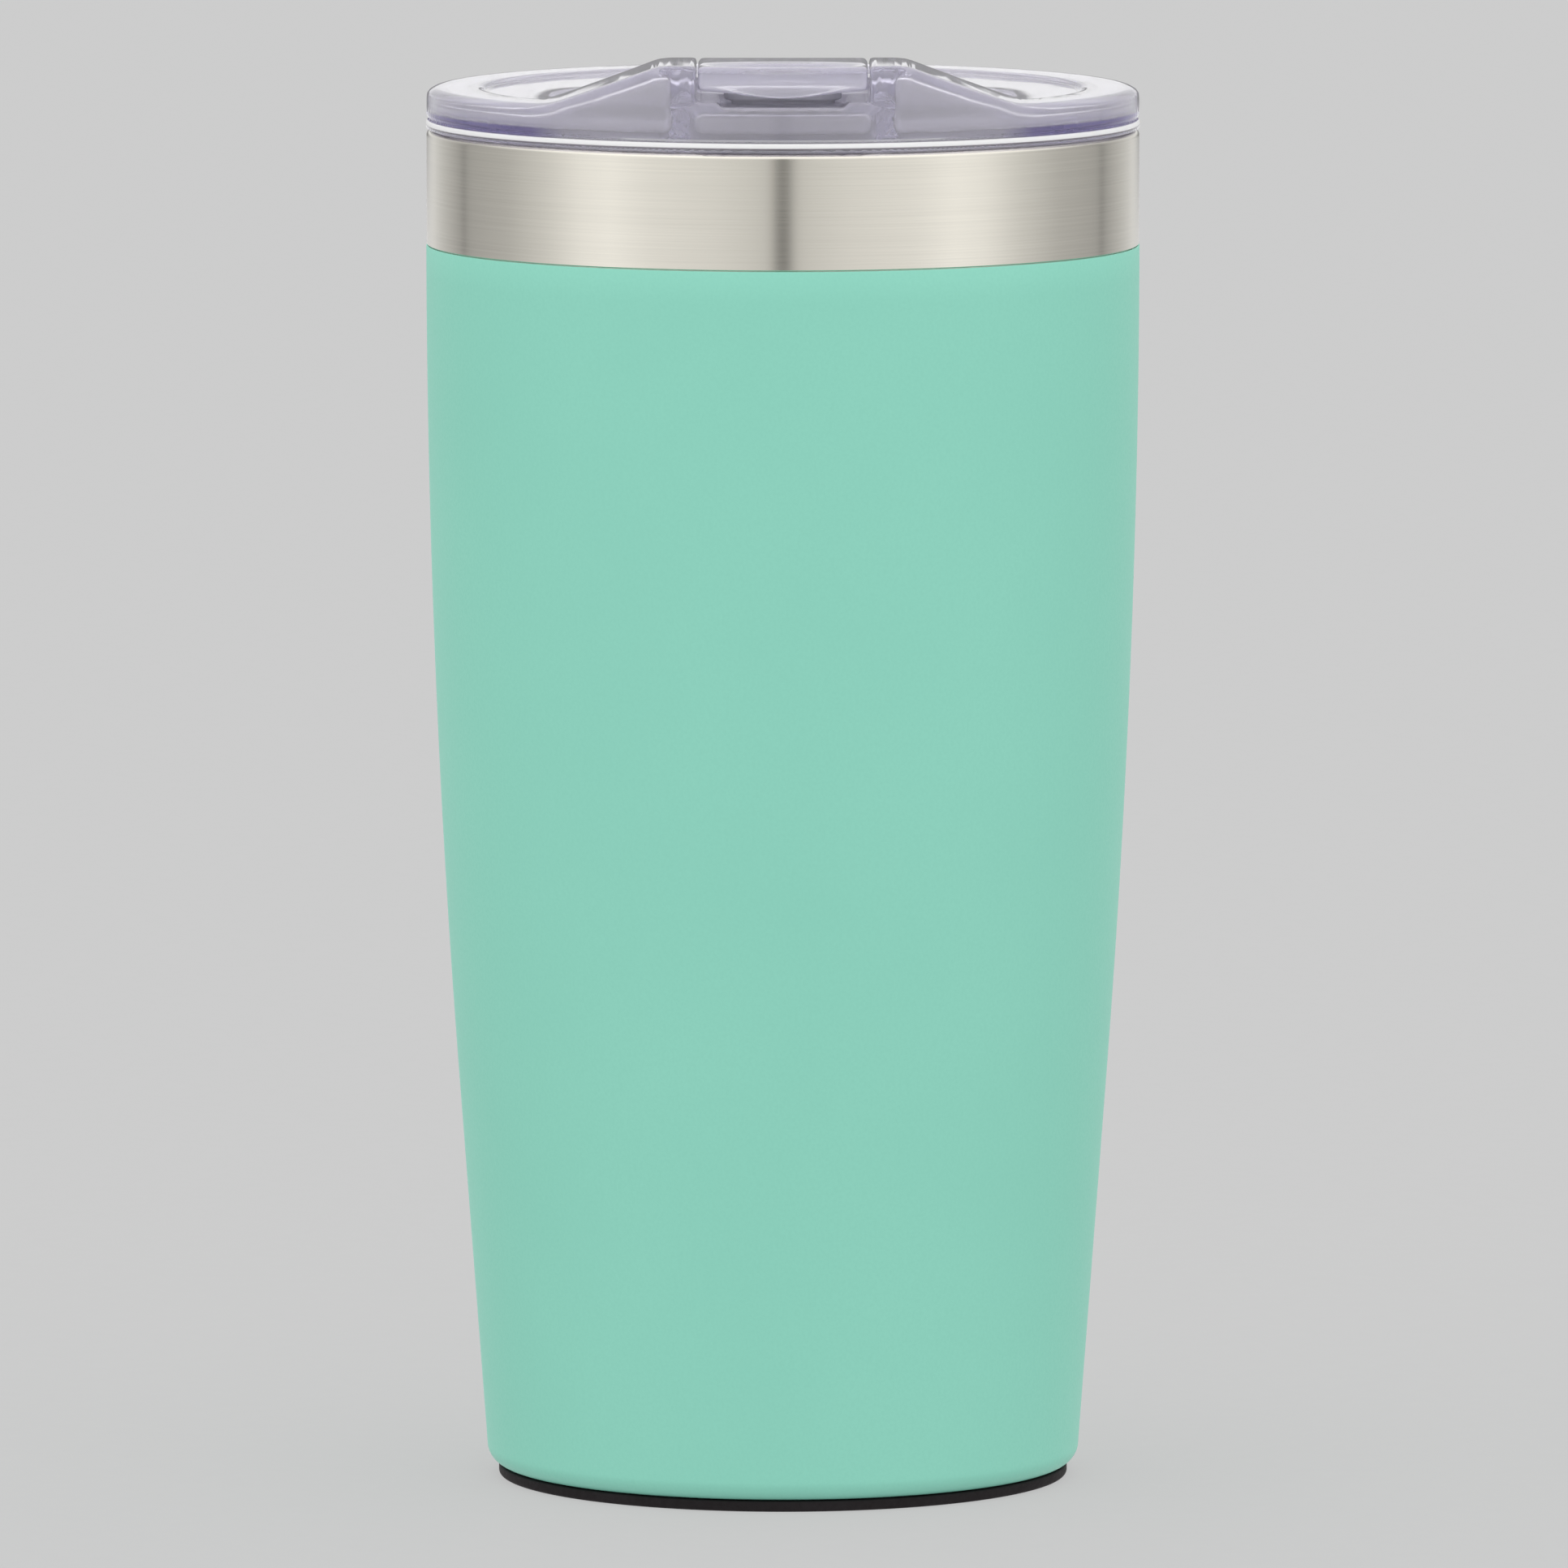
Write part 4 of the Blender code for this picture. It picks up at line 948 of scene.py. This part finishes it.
SENSOR_WIDTH = 36.0               # camera, in millimetres
FOCAL_LENGTH = 445.5
CAMERA_SHIFT = 0.0007             # sideways, as a share of the picture's width
CAMERA_REACH = 50.0
CAMERA_PLACE = (0, -2.418, 0.345)
CAMERA_AIM = Vector((0, 0, 0.087))


def studio_world():
    """Soft studio surroundings: a bright panel on either side, a dark gap at the camera, an open sky."""
    world = bpy.data.worlds.new("studio")
    bpy.context.scene.world = world
    world.use_nodes = True
    tree = world.node_tree
    tree.nodes.clear()
    place = tree.nodes.new("ShaderNodeTexCoord")
    split = tree.nodes.new("ShaderNodeSeparateXYZ")
    tree.links.new(place.outputs["Generated"], split.inputs["Vector"])

    def math_node(operation, first, second):
        node = tree.nodes.new("ShaderNodeMath")
        node.operation = operation
        for socket, value in zip(node.inputs, (first, second)):
            if isinstance(value, bpy.types.NodeSocket):
                tree.links.new(value, socket)
            else:
                socket.default_value = value
        return node.outputs["Value"]

    def stepped(value, low, high, low_result, high_result):
        node = tree.nodes.new("ShaderNodeMapRange")
        tree.links.new(value, node.inputs["Value"])
        limits = {"From Min": low, "From Max": high, "To Min": low_result, "To Max": high_result}
        for socket, number in limits.items():
            node.inputs[socket].default_value = number
        return node.outputs["Result"]

    def banded(value, bands):
        node = tree.nodes.new("ShaderNodeValToRGB")
        tree.links.new(value, node.inputs["Fac"])
        brightest = max(level for _, level in bands)
        stops = node.color_ramp.elements
        while len(stops) < len(bands):
            stops.new(0.5)
        for stop, (position, level) in zip(stops, bands):
            stop.position = position
            stop.color = (level / brightest,) * 3 + (1.0,)
        return math_node("MULTIPLY", node.outputs["Color"], brightest)

    forward = math_node("MULTIPLY", split.outputs["Y"], -1.0)
    turn = math_node("ARCTAN2", split.outputs["X"], forward)
    share = math_node("DIVIDE", math_node("ABSOLUTE", turn, 0.0), math.pi)
    around = banded(share, STUDIO_RING)
    behind = stepped(share, REAR_START, REAR_FULL, 0.0, 1.0)
    shade_bands = [((z + SHADE_REACH) / (2 * SHADE_REACH), level) for z, level in REAR_SHADE]
    dimming = math_node("MULTIPLY", behind, banded(
        stepped(split.outputs["Z"], -SHADE_REACH, SHADE_REACH, 0.0, 1.0), shade_bands))
    around = math_node("MULTIPLY", around, math_node("SUBTRACT", 1.0, dimming))
    overhead = stepped(split.outputs["Z"], SKY_START, SKY_FULL, 0.0, 1.0)
    lift = math_node("SUBTRACT", SKY_LIGHT, around)
    light = math_node("ADD", around, math_node("MULTIPLY", overhead, lift))
    background = tree.nodes.new("ShaderNodeBackground")
    tree.links.new(light, background.inputs["Strength"])
    output = tree.nodes.new("ShaderNodeOutputWorld")
    tree.links.new(background.outputs["Background"], output.inputs["Surface"])


def studio_floor():
    mesh = bpy.data.meshes.new("floor")
    bm = bmesh.new()
    bmesh.ops.create_grid(bm, x_segments=FLOOR_SQUARES, y_segments=FLOOR_SQUARES, size=FLOOR_HALF)
    bm.to_mesh(mesh)
    bm.free()
    floor = bpy.data.objects.new("floor", mesh)
    bpy.context.scene.collection.objects.link(floor)
    mesh.materials.append(floor_material())
    floor.visible_glossy = False


def studio_camera():
    data = bpy.data.cameras.new("camera")
    data.sensor_width = SENSOR_WIDTH
    data.lens = FOCAL_LENGTH
    data.clip_end = CAMERA_REACH
    data.shift_x = CAMERA_SHIFT
    camera = bpy.data.objects.new("camera", data)
    bpy.context.scene.collection.objects.link(camera)
    camera.location = CAMERA_PLACE
    aim = CAMERA_AIM - camera.location
    camera.rotation_euler = aim.to_track_quat("-Z", "Y").to_euler()
    bpy.context.scene.camera = camera


def picture_settings():
    scene = bpy.context.scene
    scene.view_settings.view_transform = "Standard"
    scene.cycles.transmission_bounces = 16
    scene.cycles.max_bounces = 20
    scene.cycles.glossy_bounces = 8


dress_object()
studio_world()
studio_floor()
studio_camera()
picture_settings()
